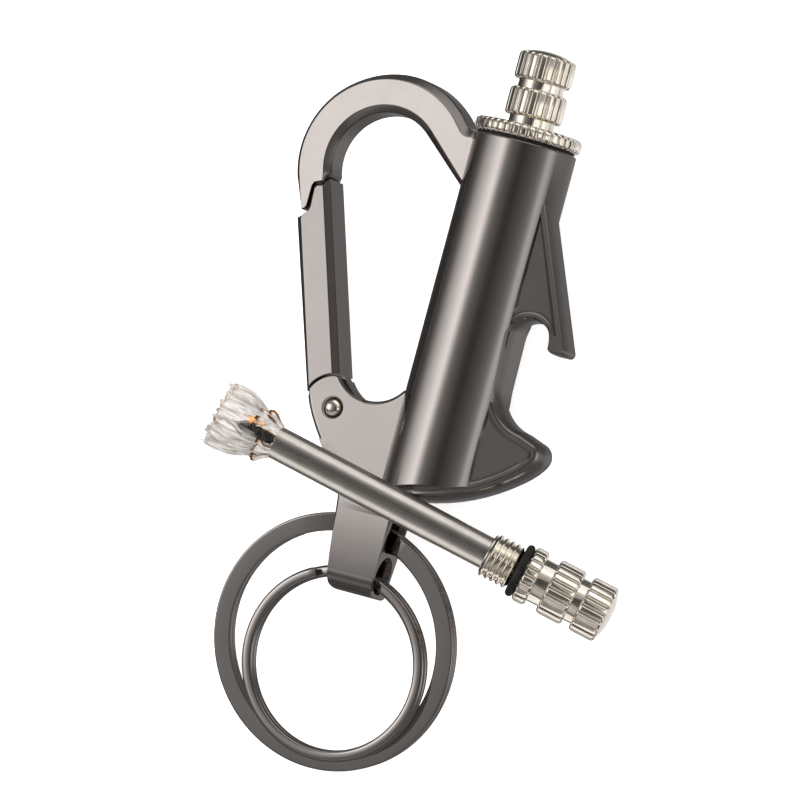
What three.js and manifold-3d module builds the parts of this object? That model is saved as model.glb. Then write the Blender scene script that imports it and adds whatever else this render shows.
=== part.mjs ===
// Pocket flint spark lighter on a carabiner body, lying on its back.
// Units are millimetres. +Y runs along the fuel tube towards the match cap,
// +X points to the bottle-opener side and +Z comes out of the front face.
// All outlines are first drawn with the tube axis on the Y axis; the whole
// group is then shifted so that the origin is the bottom centre of its box.

import * as THREE from 'three';
import { mergeVertices } from 'three/addons/utils/BufferGeometryUtils.js';
import Module from 'manifold-3d';

const wasm = await Module();
wasm.setup();

const deg = THREE.MathUtils.degToRad;

// ---------- driving dimensions ----------

// fuel tube
const TUBE_R = 6.65;
const TUBE_TOP = 45.3;
const TANK_R = 4.7;
const TANK_FLOOR = 3.2;

// flat frame: arch, gate, pivot lobe and neck
const FRAME_HALF = 3.1;
const NECK_HALF = 3.5;
const ARCH_BACK = -2.9;
const EDGE_ARCH_LEFT = 0.55;
const EDGE_ARCH_RIGHT = 1.1;
const EDGE_ARCH_IN = 0.9;
const EDGE_LOBE = 0.4;
const EDGE_SEAM = 0.06;

// spring gate, drawn in a frame centred on its pivot and leaning to the left
const PIVOT = new THREE.Vector2(-14.9, 6.98);
const GATE_LEAN = deg(19);
const GATE_LEFT = -3.27;
const GATE_RIGHT = 0.18;
const GATE_TOP = 28.58;
const LOBE_R = 4.0;
const GATE_FOOT_R = 4.35;
const TONGUE_R = 3.1;
const TONGUE_HALF = 1.2;
const CLEVIS_HALF = 1.5;
const PIN_R = 0.8;
const PIN_HOLE_R = 0.86;
const RIVET_HEAD_R = 1.15;
const HEEL = -1.7;
const SPRING = { across: 1.85, top: -1.95, bottom: -7.2, coil: 0.62, wire: 0.15, turns: 6 };
const SPRING_POCKET_R = 0.95;

// neck with its two cross holes
const NECK_BOTTOM = -14.9;
const SLOT_Y = -6.85;
const SLOT_H = 4.0;
const SLOT_D = 4.9;
const SLOT_CORNER = 0.9;
const HOLE_Y = -12.1;
const HOLE_R = 2.2;

// bottle opener
const OPENER_FRONT = 3.5;
const OPENER_BACK = -1.3;
const PANEL_FRONT = 3.2;
const OPENER_EDGE = 0.35;

// knurled collar screwed on the tube's mouth
const COLLAR_R = 6.95;
const COLLAR_RIBS = 41;
const COLLAR_BASE = 45.65;
const COLLAR_TOP = 47.4;
const COLLAR_BORE = 3.15;
const COUNTERBORE_R = 4.0;
const COUNTERBORE_FLOOR = 44;
const SPIGOT_R = 4.4;
const SPIGOT_END = 40.5;

// match: every length is measured from the top of its knurled head
const HEAD_R = 3.72;
const HEAD_TEETH = 21;
const BAND_C = 3.55;
const GROOVE_B = 1.05;
const BAND_B = 3.6;
const GROOVE_A = 1.6;
const BAND_A = 1.85;
const GROOVE_R = 2.95;
const O_RING_MAJOR = 3.04;
const O_RING_MINOR = 0.53;
const THREAD_R = 2.95;
const THREAD_ROOT_R = 2.6;
const THREAD_PITCH = 0.8;
const THREAD_TURNS = 5;
const THREAD_START = 12.9;
const SOCKET_R = 2.2;
const SLEEVE_R = 2.14;
const SLEEVE_BORE = 1.8;
const SLEEVE_START = 13.6;
const SLEEVE_END = 47.3;
const WICK_R = 1.5;
const WICK_BORE = 0.85;
const WICK_START = 41;
const WICK_END = 53.2;
const STRIKER_R = 0.5;

// where the two matches sit
const STOWED_TOP = 56.8;
const LOOSE_END = new THREE.Vector3(25.55, -9.65, -3.42);
const LOOSE_HEADING = deg(166.5);
const LOOSE_SLOPE = deg(18.75);

// split rings: outer radius, radial width, coil height, coil spacing
const LARGE = { outer: 16.5, width: 2.35, coil: 0.85, pitch: 0.95 };
const SMALL = { outer: 12.5, width: 1.5, coil: 0.95, pitch: 1.05 };
const LARGE_TOP = new THREE.Vector3(-8.7, -6.5, 0);
const LARGE_TILT = deg(10.9);
const SMALL_TOP = new THREE.Vector3(-7.48, -12.6, 0);
const SMALL_TILT = deg(7.6);

// ---------- solids ----------

function toSolid(geometry) {
  const bare = geometry.clone();
  bare.deleteAttribute('normal');
  bare.deleteAttribute('uv');
  const merged = mergeVertices(bare, 1e-4);
  return new wasm.Manifold(new wasm.Mesh({
    numProp: 3,
    vertProperties: new Float32Array(merged.attributes.position.array),
    triVerts: new Uint32Array(merged.index.array),
  }));
}

function toGeometry(solid) {
  const mesh = solid.getMesh();
  const geometry = new THREE.BufferGeometry();
  geometry.setAttribute('position', new THREE.BufferAttribute(mesh.vertProperties, 3));
  geometry.setIndex(new THREE.BufferAttribute(mesh.triVerts, 1));
  geometry.computeVertexNormals();
  return geometry;
}

function join(...geometries) {
  return toGeometry(geometries.map(toSolid).reduce((a, b) => a.add(b)));
}

function cut(geometry, ...tools) {
  return toGeometry(tools.map(toSolid).reduce((a, b) => a.subtract(b), toSolid(geometry)));
}

function common(a, b) {
  return toGeometry(toSolid(a).intersect(toSolid(b)));
}

// ---------- outlines and lofts ----------

const SPACING = 0.34;

function outline(path, divisions = 12) {
  const points = [];
  for (const p of path.getPoints(divisions)) {
    const last = points[points.length - 1];
    if (!last || last.distanceTo(p) > SPACING) points.push(p);
  }
  if (points[0].distanceTo(points[points.length - 1]) < SPACING) points.pop();
  if (THREE.ShapeUtils.area(points) < 0) points.reverse();
  return points;
}

// Moves each corner of a counter-clockwise outline outwards by its own amount.
function outset(points, amount) {
  const count = points.length;
  return points.map((p, i) => {
    const before = p.clone().sub(points[(i + count - 1) % count]).normalize();
    const after = points[(i + 1) % count].clone().sub(p).normalize();
    const normal = new THREE.Vector2(before.y + after.y, -before.x - after.x).normalize();
    const spread = Math.max(0.6, normal.x * after.y - normal.y * after.x);
    const size = typeof amount === 'function' ? amount(p) : amount;
    return p.clone().addScaledVector(normal, size / spread);
  });
}

// Joins rings of equal length into one closed skin; the end rings get caps.
function loft(rings, caps) {
  const count = rings[0].length;
  const position = rings.flat().flatMap((v) => [v.x, v.y, v.z]);
  const index = [];
  for (let r = 0; r + 1 < rings.length; r += 1) {
    for (let i = 0; i < count; i += 1) {
      const a = r * count + i;
      const b = r * count + ((i + 1) % count);
      index.push(a, b, b + count);
      index.push(a, b + count, a + count);
    }
  }
  const top = (rings.length - 1) * count;
  for (const [a, b, c] of THREE.ShapeUtils.triangulateShape(caps, [])) {
    index.push(a, c, b);
    index.push(top + a, top + b, top + c);
  }
  const geometry = new THREE.BufferGeometry();
  geometry.setAttribute('position', new THREE.Float32BufferAttribute(position, 3));
  geometry.setIndex(index);
  geometry.computeVertexNormals();
  return geometry;
}

const lift = (points, z) => points.map((p) => new THREE.Vector3(p.x, p.y, z));

// A flat plate whose face edges are bevelled; `bevel` is a size or a function of the point.
function plate(face, low, high, bevel, depth = 0) {
  const edge = typeof bevel === 'function' ? Math.max(...face.map(bevel)) : bevel;
  const full = outset(face, bevel);
  return loft([
    lift(face, low),
    lift(full, low + (depth || edge)),
    lift(full, high - edge),
    lift(face, high),
  ], face);
}

function slab(points, low, high) {
  return loft([lift(points, low), lift(points, high)], points);
}

function polygon(...pairs) {
  return outline(new THREE.Path(pairs.map(([x, y]) => new THREE.Vector2(x, y))));
}

// A solid of revolution about the Y axis from a closed [radius, y] profile.
function turned(profile, segments = 40) {
  const closed = [...profile, profile[0]].map(([r, y]) => new THREE.Vector2(r, y));
  return new THREE.LatheGeometry(closed, segments);
}

function rod(radius, low, high, segments = 40) {
  const geometry = new THREE.CylinderGeometry(radius, radius, high - low, segments);
  return geometry.translate(0, (low + high) / 2, 0);
}

// Point of the gate's own frame: `across` to the right of the pivot, `along` above it.
function gatePoint(across, along) {
  return new THREE.Vector2(
    PIVOT.x + across * Math.cos(GATE_LEAN) - along * Math.sin(GATE_LEAN),
    PIVOT.y + across * Math.sin(GATE_LEAN) + along * Math.cos(GATE_LEAN),
  );
}

function mesh(name, geometry, material) {
  const made = new THREE.Mesh(geometry, material);
  made.name = name;
  return made;
}

// ---------- materials ----------

const metal = (color, roughness) => new THREE.MeshStandardMaterial({ color, roughness, metalness: 1 });
const matte = (color, roughness) => new THREE.MeshStandardMaterial({ color, roughness, metalness: 0 });

const gunmetal = () => metal(0x6b6663, 0.32);
const nickel = () => metal(0xd8d2c6, 0.18);
const steel = () => metal(0x9a958c, 0.35);
const springSteel = () => metal(0xb4b2ae, 0.3);
const ferro = () => metal(0x3d3b3a, 0.6);
const rubber = () => matte(0x16120f, 0.55);
const cotton = () => matte(0xe9e4d8, 0.95);
const charredFibre = () => matte(0xb9b0a4, 0.95);
const sootySteel = () => matte(0x2a2320, 0.7);

// ---------- body casting ----------

const ARCH_CENTRE = new THREE.Vector2(-16.95, 38.15);
const ARCH_OUT_R = 11.2;
const ARCH_IN_R = 7.9;
const FIN_ARC = { x: -5.5, y: 24.95, r: 26.7 };

function archFace() {
  const path = new THREE.Path();
  path.moveTo(-4, 43.6);
  path.lineTo(-4, 37.1);
  path.absarc(ARCH_CENTRE.x, ARCH_CENTRE.y, ARCH_IN_R, deg(48), deg(180) + GATE_LEAN, false);
  const nose = [[0.1, 29.2], [-0.95, 29.15], [-1.34, 28.75], [-2.2, 26.3], [-2.5, 25.95], [-2.95, 25.9]];
  for (const [across, along] of nose) {
    const p = gatePoint(across, along);
    path.lineTo(p.x, p.y);
  }
  path.absarc(ARCH_CENTRE.x, ARCH_CENTRE.y, ARCH_OUT_R, deg(180) + GATE_LEAN, deg(46), true);
  path.lineTo(-7.9, 44.85);
  path.absarc(-6.75, 45.9, 1.55, deg(222), deg(290), false);
  return outline(path, 10);
}

function archEdge(p) {
  if (p.distanceTo(gatePoint(-1.4, 27.4)) < 2.6) return EDGE_SEAM;
  const inside = p.distanceTo(ARCH_CENTRE) < ARCH_IN_R + 0.9 || (p.x > -12 && p.y < 43.5);
  const towardsTube = THREE.MathUtils.smoothstep(p.x, -24, -12);
  return inside ? EDGE_ARCH_IN : THREE.MathUtils.lerp(EDGE_ARCH_LEFT, EDGE_ARCH_RIGHT, towardsTube);
}

function lobeFace() {
  const path = new THREE.Path();
  path.moveTo(-3.3, 8);
  path.lineTo(-4, 12.3);
  path.absarc(-10.69, 14.33, 5.77, deg(-36), deg(-143), true);
  path.absarc(PIVOT.x, PIVOT.y, LOBE_R, deg(97), deg(157), false);
  path.bezierCurveTo(-16.9, 3.4, -11.1, -0.9, -10.65, -3.8);
  path.lineTo(-9.45, -13.8);
  path.absarc(-8.8, NECK_BOTTOM + 0.75, 0.6, deg(185), deg(262), false);
  path.absarc(-4.75, NECK_BOTTOM + 0.35, 0.6, deg(278), deg(360), false);
  path.lineTo(-3.5, -5);
  return outline(path, 10);
}

// The lobe's top runs close under the gate's foot, so its edge is left almost sharp there.
function lobeEdge(p) {
  const underGate = p.distanceTo(PIVOT) < LOBE_R + 0.05 && p.y > PIVOT.y + 1.2;
  return underGate ? EDGE_SEAM : EDGE_LOBE;
}

// Side view of the neck: it swells a little below the lobe and its end is rounded.
function neckRounding() {
  const side = new THREE.Path();
  side.moveTo(20, -FRAME_HALF);
  side.lineTo(20, FRAME_HALF);
  side.lineTo(0.5, FRAME_HALF);
  side.bezierCurveTo(-1, FRAME_HALF, -1.5, NECK_HALF, -3, NECK_HALF);
  side.absarc(NECK_BOTTOM + 2.2, NECK_HALF - 2.4, 2.4, deg(90), deg(180), false);
  side.absarc(NECK_BOTTOM + 1.2, -NECK_HALF + 1.4, 1.4, deg(180), deg(270), false);
  side.lineTo(-3, -NECK_HALF);
  side.bezierCurveTo(-1.5, -NECK_HALF, -1, -FRAME_HALF, 0.5, -FRAME_HALF);
  const profile = outline(side, 8);
  const ring = (x) => profile.map((p) => new THREE.Vector3(x, p.x, p.y));
  return loft([ring(-40), ring(10)], profile);
}

function neckTools() {
  const slot = new THREE.Path();
  const r = SLOT_CORNER;
  const right = SLOT_Y + SLOT_H / 2 - r;
  const left = SLOT_Y - SLOT_H / 2 + r;
  const reach = SLOT_D / 2 - r;
  slot.absarc(right, reach, r, 0, deg(90), false);
  slot.absarc(left, reach, r, deg(90), deg(180), false);
  slot.absarc(left, -reach, r, deg(180), deg(270), false);
  slot.absarc(right, -reach, r, deg(270), deg(360), false);
  const section = outline(slot, 3);
  const ring = (x) => section.map((p) => new THREE.Vector3(x, p.x, p.y));
  const round = new THREE.CylinderGeometry(HOLE_R, HOLE_R, 14, 28);
  round.rotateZ(Math.PI / 2);
  round.translate(-7, HOLE_Y, 0);
  return [loft([ring(-14), ring(0)], section), round];
}

function openerFace() {
  const path = new THREE.Path();
  path.moveTo(3, 45.1);
  path.lineTo(13.15, 21.2);
  path.lineTo(12.9, 20.85);
  path.lineTo(11.75, 20.6);
  path.lineTo(11.4, 20.8);
  path.absarc(8.3, 21.2, 2.95, deg(5), deg(180), false);
  path.absarc(11.3, 15.3, 5.75, deg(180), deg(262), false);
  path.absarc(12.25, 7.4, 1.5, deg(70), deg(-44), true);
  path.absarc(FIN_ARC.x, FIN_ARC.y, FIN_ARC.r, deg(-45), deg(-80.5), true);
  path.absarc(-0.68, -4.06, 2.8, deg(99), deg(180), false);
  path.lineTo(-6, -4.06);
  path.lineTo(-6, 2);
  path.lineTo(3, 2.6);
  return outline(path, 10);
}

// Sunk panels on the front of the opener, leaving a raised rim along its free edges.
function openerPanels() {
  const upper = new THREE.Path();
  upper.moveTo(3, 43.2);
  upper.lineTo(11.75, 22.6);
  upper.lineTo(11.6, 22.4);
  upper.absarc(8.3, 21.2, 3.55, deg(20), deg(160), false);
  upper.lineTo(3, 22.5);
  const lower = new THREE.Path();
  lower.moveTo(3, 15.5);
  lower.lineTo(4.6, 13.6);
  lower.absarc(11.3, 15.3, 6.85, deg(197), deg(262), false);
  lower.absarc(11.95, 7.2, 0.75, deg(62), deg(-44), true);
  lower.absarc(FIN_ARC.x, FIN_ARC.y, FIN_ARC.r - 1.15, deg(-45), deg(-76), true);
  lower.lineTo(0, 8);
  return [upper, lower].map((path) => {
    const face = outline(path, 10);
    const mouth = outset(face, 0.55);
    return loft([lift(face, PANEL_FRONT), lift(mouth, OPENER_FRONT + 0.25)], face);
  });
}

function notchTool() {
  const path = new THREE.Path();
  path.moveTo(7.6, 10.8);
  path.lineTo(7.6, 23.9);
  path.absarc(8.3, 21.2, 2.95, deg(105), deg(180), false);
  path.absarc(11.3, 15.3, 5.75, deg(180), deg(226), false);
  return slab(outline(path, 10), -9, 9);
}

function tubeOuter() {
  const tube = turned([[0, -3], [TUBE_R, -3], [TUBE_R, TUBE_TOP - 0.25], [TUBE_R - 0.25, TUBE_TOP], [0, TUBE_TOP]], 64);
  const foot = new THREE.Path();
  foot.moveTo(16, 60);
  foot.lineTo(-16, 60);
  foot.absarc(FIN_ARC.x, FIN_ARC.y, FIN_ARC.r - 0.75, deg(-150), deg(-30), false);
  const face = outline(foot, 18);
  const hull = loft([
    lift(outset(face, -1.0), -8),
    lift(face, -5.5),
    lift(face, 5.5),
    lift(outset(face, -1.0), 8),
  ], face);
  return common(tube, hull);
}

function clevisTools() {
  const slot = new THREE.Path();
  slot.moveTo(gatePoint(-6, 1).x, gatePoint(-6, 1).y);
  slot.lineTo(gatePoint(-2.2, -2.9).x, gatePoint(-2.2, -2.9).y);
  slot.absarc(PIVOT.x, PIVOT.y, TONGUE_R + 0.35, deg(-126) + GATE_LEAN, deg(50) + GATE_LEAN, false);
  const high = gatePoint(2.6, 7);
  slot.lineTo(high.x, high.y);
  slot.lineTo(gatePoint(-6, 7).x, gatePoint(-6, 7).y);
  const pin = new THREE.CylinderGeometry(PIN_HOLE_R, PIN_HOLE_R, 12, 24);
  pin.rotateX(Math.PI / 2);
  pin.translate(PIVOT.x, PIVOT.y, 0);
  const low = SPRING.bottom - 0.25;
  const pocket = new THREE.CylinderGeometry(SPRING_POCKET_R, SPRING_POCKET_R, -low, 20);
  pocket.translate(SPRING.across, low / 2, 0);
  pocket.rotateZ(GATE_LEAN);
  pocket.translate(PIVOT.x, PIVOT.y, 0);
  return [slab(outline(slot, 12), -CLEVIS_HALF, CLEVIS_HALF), pin, pocket];
}

const FLINT = { low: 12, high: 32, half: 1.5, top: -5.35, bottom: -6.3 };

function flintOutline(margin) {
  const r = FLINT.half + margin;
  const path = new THREE.Path();
  path.absarc(0, FLINT.low + FLINT.half, r, Math.PI, 2 * Math.PI, false);
  path.absarc(0, FLINT.high - FLINT.half, r, 0, Math.PI, false);
  return outline(path, 8);
}

function lobeAndNeck() {
  const lobe = plate(lobeFace(), -FRAME_HALF, FRAME_HALF, lobeEdge);
  const neck = plate(lobeFace(), -NECK_HALF, NECK_HALF, EDGE_LOBE);
  const below = new THREE.BoxGeometry(30, 40, 20).translate(-5, -19.5, 0);
  return common(join(lobe, common(neck, below)), neckRounding());
}

function bodyCasting() {
  const arch = plate(archFace(), ARCH_BACK, FRAME_HALF, archEdge, 1.5);
  const opener = cut(plate(openerFace(), OPENER_BACK, OPENER_FRONT, OPENER_EDGE), ...openerPanels());
  const shell = cut(tubeOuter(), notchTool());
  const tank = rod(TANK_R, TANK_FLOOR, TUBE_TOP + 5, 48);
  const flintPocket = slab(flintOutline(0.12), -9, FLINT.top + 0.05);
  const seat = rod(COLLAR_R + 0.25, TUBE_TOP, TUBE_TOP + 8, 48);
  const whole = join(arch, lobeAndNeck(), opener, shell);
  return cut(whole, seat, tank, flintPocket, ...neckTools(), ...clevisTools());
}

function flintStrip() {
  return slab(flintOutline(0), FLINT.bottom, FLINT.top - 0.05);
}

// ---------- spring gate ----------

function gateFace() {
  const path = new THREE.Path();
  const go = (across, along) => {
    const p = gatePoint(across, along);
    path.lineTo(p.x, p.y);
  };
  path.moveTo(gatePoint(GATE_RIGHT, GATE_TOP).x, gatePoint(GATE_RIGHT, GATE_TOP).y);
  go(-0.65, GATE_TOP);
  go(-0.99, 28.3);
  go(-1.66, 26.0);
  go(-1.95, 25.55);
  go(-2.92, 25.15);
  go(GATE_LEFT, 24.6);
  const start = Math.atan2(Math.sqrt(GATE_FOOT_R ** 2 - GATE_LEFT ** 2), GATE_LEFT);
  const end = Math.atan2(Math.sqrt(GATE_FOOT_R ** 2 - GATE_RIGHT ** 2), GATE_RIGHT);
  path.absarc(PIVOT.x, PIVOT.y, GATE_FOOT_R, start + GATE_LEAN, end + GATE_LEAN, true);
  return outline(path, 10);
}

function gateEdge(p) {
  return p.distanceTo(gatePoint(-1.4, 27.0)) < 2.7 ? EDGE_SEAM : EDGE_LOBE;
}

function gateFootTool() {
  const tool = new THREE.CylinderGeometry(GATE_FOOT_R, GATE_FOOT_R, 12, 64);
  tool.rotateX(Math.PI / 2);
  tool.translate(PIVOT.x, PIVOT.y, 0);
  return tool;
}

function gate() {
  const bar = cut(plate(gateFace(), -FRAME_HALF, FRAME_HALF, gateEdge), gateFootTool());
  const tongue = new THREE.Path();
  tongue.absarc(PIVOT.x, PIVOT.y, TONGUE_R, deg(160) + GATE_LEAN, deg(285) + GATE_LEAN, false);
  for (const [across, along] of [[1.0, HEEL], [2.5, HEEL], [2.95, HEEL + 0.6], [2.95, 0.5]]) {
    tongue.lineTo(gatePoint(across, along).x, gatePoint(across, along).y);
  }
  const right = gatePoint(GATE_RIGHT - 0.1, 6);
  const left = gatePoint(GATE_LEFT + 0.5, 6);
  tongue.lineTo(right.x, right.y);
  tongue.lineTo(left.x, left.y);
  const hole = new THREE.CylinderGeometry(PIN_R + 0.12, PIN_R + 0.12, 12, 24);
  hole.rotateX(Math.PI / 2);
  hole.translate(PIVOT.x, PIVOT.y, 0);
  const blade = slab(outline(tongue, 12), -TONGUE_HALF, TONGUE_HALF);
  return cut(join(bar, blade), hole);
}

function gateRivet() {
  const half = FRAME_HALF;
  const profile = [[0, -half - 0.45], [0.8, -half - 0.3], [RIVET_HEAD_R, -half - 0.05], [PIN_R, -half - 0.05]];
  const mirror = profile.map(([r, y]) => [r, -y]).reverse();
  const geometry = turned([...profile, ...mirror], 28);
  return geometry.rotateX(Math.PI / 2).translate(PIVOT.x, PIVOT.y, 0);
}

// Compression spring under the gate's heel.
class Helix extends THREE.Curve {
  constructor(radius, turns, low, high) {
    super();
    Object.assign(this, { radius, turns, low, high });
  }

  getPoint(t, target = new THREE.Vector3()) {
    const a = t * this.turns * 2 * Math.PI;
    return target.set(
      this.radius * Math.cos(a),
      this.low + (this.high - this.low) * t,
      this.radius * Math.sin(a),
    );
  }
}

function gateSpring() {
  const { across, top, bottom, coil, wire, turns } = SPRING;
  const section = new THREE.Shape().absarc(0, 0, wire, 0, 2 * Math.PI, false);
  const path = new Helix(coil, turns, bottom + wire, top - wire);
  const geometry = new THREE.ExtrudeGeometry(section, {
    steps: turns * 10, curveSegments: 2, bevelEnabled: false, extrudePath: path,
  });
  geometry.translate(across, 0, 0);
  geometry.rotateZ(GATE_LEAN);
  return geometry.translate(PIVOT.x, PIVOT.y, 0);
}

// ---------- knurled collar and tank filling ----------

// A ribbed disc about the Y axis: flat-topped ribs with bevelled ends.
function knurled(radius, root, ribs, low, high, bevel) {
  const ring = (shrink) => {
    const points = [];
    for (let i = 0; i < ribs * 4; i += 1) {
      const a = ((i + 0.5) / (ribs * 4)) * 2 * Math.PI;
      const r = (i % 4 === 0 || i % 4 === 3 ? root : radius) - shrink;
      points.push(new THREE.Vector2(r * Math.cos(a), r * Math.sin(a)));
    }
    return points;
  };
  const geometry = loft([
    lift(ring(bevel), low),
    lift(ring(0), low + bevel),
    lift(ring(0), high - bevel),
    lift(ring(bevel), high),
  ], ring(0));
  return geometry.rotateX(-Math.PI / 2);
}

function collar() {
  const head = knurled(COLLAR_R, COLLAR_R - 0.35, COLLAR_RIBS, COLLAR_BASE, COLLAR_TOP, 0.25);
  const spigot = rod(SPIGOT_R, SPIGOT_END, COLLAR_BASE + 0.5, 48);
  const bore = rod(COLLAR_BORE, SPIGOT_END - 1, COLLAR_TOP + 1, 40);
  const counterbore = turned([
    [0, COUNTERBORE_FLOOR], [COUNTERBORE_R, COUNTERBORE_FLOOR], [COUNTERBORE_R, COLLAR_TOP - 0.4],
    [COUNTERBORE_R + 0.6, COLLAR_TOP + 0.2], [0, COLLAR_TOP + 0.2],
  ], 48);
  return cut(join(head, spigot), bore, counterbore);
}

function collarGasket() {
  return turned([[4.8, TUBE_TOP + 0.04], [6.3, TUBE_TOP + 0.04], [6.3, COLLAR_BASE - 0.04], [4.8, COLLAR_BASE - 0.04]], 48);
}

function fuelWadding() {
  return turned([[2.7, 3.6], [4.4, 3.6], [4.4, 38], [2.7, 38]], 32);
}

// ---------- match, pointing down the Y axis from the top of its head ----------

function matchHead() {
  const b = BAND_C + GROOVE_B;
  const a = b + BAND_B + GROOVE_A;
  const seat = a + BAND_A;
  const profile = [[0, 0.22], [1.6, 0.14], [2.7, -0.02], [3.0, -0.2], [3.0, -0.5], [GROOVE_R, -1]];
  profile.push([GROOVE_R, -seat], [2.38, -seat], [2.38, -THREAD_START]);
  for (let i = 0; i < THREAD_TURNS; i += 1) {
    const t = -THREAD_START - i * THREAD_PITCH;
    profile.push([THREAD_ROOT_R, t - 0.05], [THREAD_R, t - 0.42]);
  }
  const end = -THREAD_START - THREAD_TURNS * THREAD_PITCH;
  profile.push([SOCKET_R, end], [SOCKET_R, -THREAD_START - 0.4], [0, -THREAD_START - 0.4]);
  const core = turned(profile, 20);
  const band = (from, length) => knurled(HEAD_R, HEAD_R - 0.4, HEAD_TEETH, -from - length, -from, 0.3);
  return join(core, band(0, BAND_C), band(b, BAND_B), band(a, BAND_A));
}

function matchRing() {
  const geometry = new THREE.TorusGeometry(O_RING_MAJOR, O_RING_MINOR, 8, 28);
  const seat = BAND_C + GROOVE_B + BAND_B + GROOVE_A + BAND_A;
  return geometry.rotateX(Math.PI / 2).translate(0, -seat - O_RING_MINOR - 0.04, 0);
}

function matchSleeve() {
  return turned([
    [SLEEVE_BORE, -SLEEVE_START], [SLEEVE_BORE, -SLEEVE_END],
    [SLEEVE_R, -SLEEVE_END], [SLEEVE_R, -SLEEVE_START],
  ], 32);
}

function neatWick() {
  return turned([
    [WICK_BORE, -WICK_START], [WICK_BORE, -WICK_END], [WICK_R - 0.2, -WICK_END],
    [WICK_R, -WICK_END + 0.3], [WICK_R, -WICK_START],
  ], 24);
}

function frayedWick() {
  return turned([
    [WICK_BORE, -WICK_START], [WICK_BORE, -55.6], [2.0, -57], [3.3, -55.6], [3.9, -53.2], [3.4, -50.6],
    [2.5, -48.6], [1.7, -47.8], [WICK_R, -47.3], [WICK_R, -WICK_START],
  ], 24);
}

function striker() {
  return rod(STRIKER_R, -52.4, -WICK_START + 1, 16);
}

// ---------- split rings ----------

// Flat wire wound almost twice round, stepping from the lower coil to the upper
// one over `step` degrees; `hand` is +1 or -1 for the winding direction.
function splitRing({ outer, width, coil, pitch }, start, step, hand) {
  const turn = 42;
  const total = 720 - step;
  const steps = Math.round((turn * total) / 360);
  const rings = [];
  for (let i = 0; i <= steps; i += 1) {
    const along = (total * i) / steps;
    const rise = THREE.MathUtils.smoothstep(along, 360 - step, 360) - 0.5;
    const a = deg(start + hand * along);
    const corner = (r, h) => new THREE.Vector3(r * Math.cos(a), r * Math.sin(a), rise * pitch + h);
    const ring = [
      corner(outer - width, -coil / 2), corner(outer, -coil / 2),
      corner(outer, coil / 2), corner(outer - width, coil / 2),
    ];
    rings.push(hand > 0 ? ring.reverse() : ring);
  }
  const cap = polygon([0, 0], [1, 0], [1, 1], [0, 1]);
  return loft(rings, cap);
}

// ---------- assembly ----------

function castingGroup() {
  const group = new THREE.Group();
  group.add(
    mesh('body_casting', bodyCasting(), gunmetal()),
    mesh('flint_strip', flintStrip(), ferro()),
    mesh('gate_rivet', gateRivet(), gunmetal()),
    mesh('gate_spring', gateSpring(), springSteel()),
    mesh('tank_collar', collar(), nickel()),
    mesh('collar_gasket', collarGasket(), rubber()),
    mesh('fuel_wadding', fuelWadding(), cotton()),
  );
  return group;
}

function matchGroup(prefix, wick, wickMaterial) {
  const group = new THREE.Group();
  group.add(
    mesh(`${prefix}_head`, matchHead(), nickel()),
    mesh(`${prefix}_o_ring`, matchRing(), rubber()),
    mesh(`${prefix}_sleeve`, matchSleeve(), steel()),
    mesh(`${prefix}_wick`, wick, wickMaterial),
    mesh(`${prefix}_striker`, striker(), sootySteel()),
  );
  return group;
}

function stowedMatch() {
  const group = matchGroup('stowed_match', neatWick(), cotton());
  group.position.set(0, STOWED_TOP, 0);
  return group;
}

function looseMatch() {
  const group = matchGroup('loose_match', frayedWick(), charredFibre());
  const towards = new THREE.Vector3(
    Math.cos(LOOSE_SLOPE) * Math.cos(LOOSE_HEADING),
    Math.cos(LOOSE_SLOPE) * Math.sin(LOOSE_HEADING),
    Math.sin(LOOSE_SLOPE),
  );
  group.quaternion.setFromUnitVectors(new THREE.Vector3(0, -1, 0), towards);
  group.position.copy(LOOSE_END);
  return group;
}

function hungRing(name, size, top, tilt, start, step, hand) {
  const group = new THREE.Group();
  const ring = mesh(name, splitRing(size, start, step, hand), gunmetal());
  ring.position.set(0, size.width / 2 - size.outer, 0);
  group.add(ring);
  group.rotation.x = tilt;
  group.position.copy(top);
  return group;
}

function lighter() {
  const group = new THREE.Group();
  group.add(
    castingGroup(),
    mesh('gate', gate(), gunmetal()),
    stowedMatch(),
    looseMatch(),
    hungRing('large_split_ring', LARGE, LARGE_TOP, LARGE_TILT, 110, 50, 1),
    hungRing('small_split_ring', SMALL, SMALL_TOP, SMALL_TILT, 60, 45, -1),
  );
  group.updateMatrixWorld(true);
  const box = new THREE.Box3().setFromObject(group, true);
  const middle = box.getCenter(new THREE.Vector3());
  group.position.set(-middle.x, -middle.y, -box.min.z);
  return group;
}

export default lighter();
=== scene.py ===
"""Looks of a keychain flint lighter: die-cast carabiner body with a fuel tube and bottle
opener, two screw-in metal matches and two split rings."""

from math import atan2, ceil, copysign, cos, degrees, dist, hypot, pi, radians as rad, sin, sqrt
import random

import bpy
import bmesh
import numpy as np
from mathutils import Matrix, Vector, noise
from numpy.linalg import norm


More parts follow.
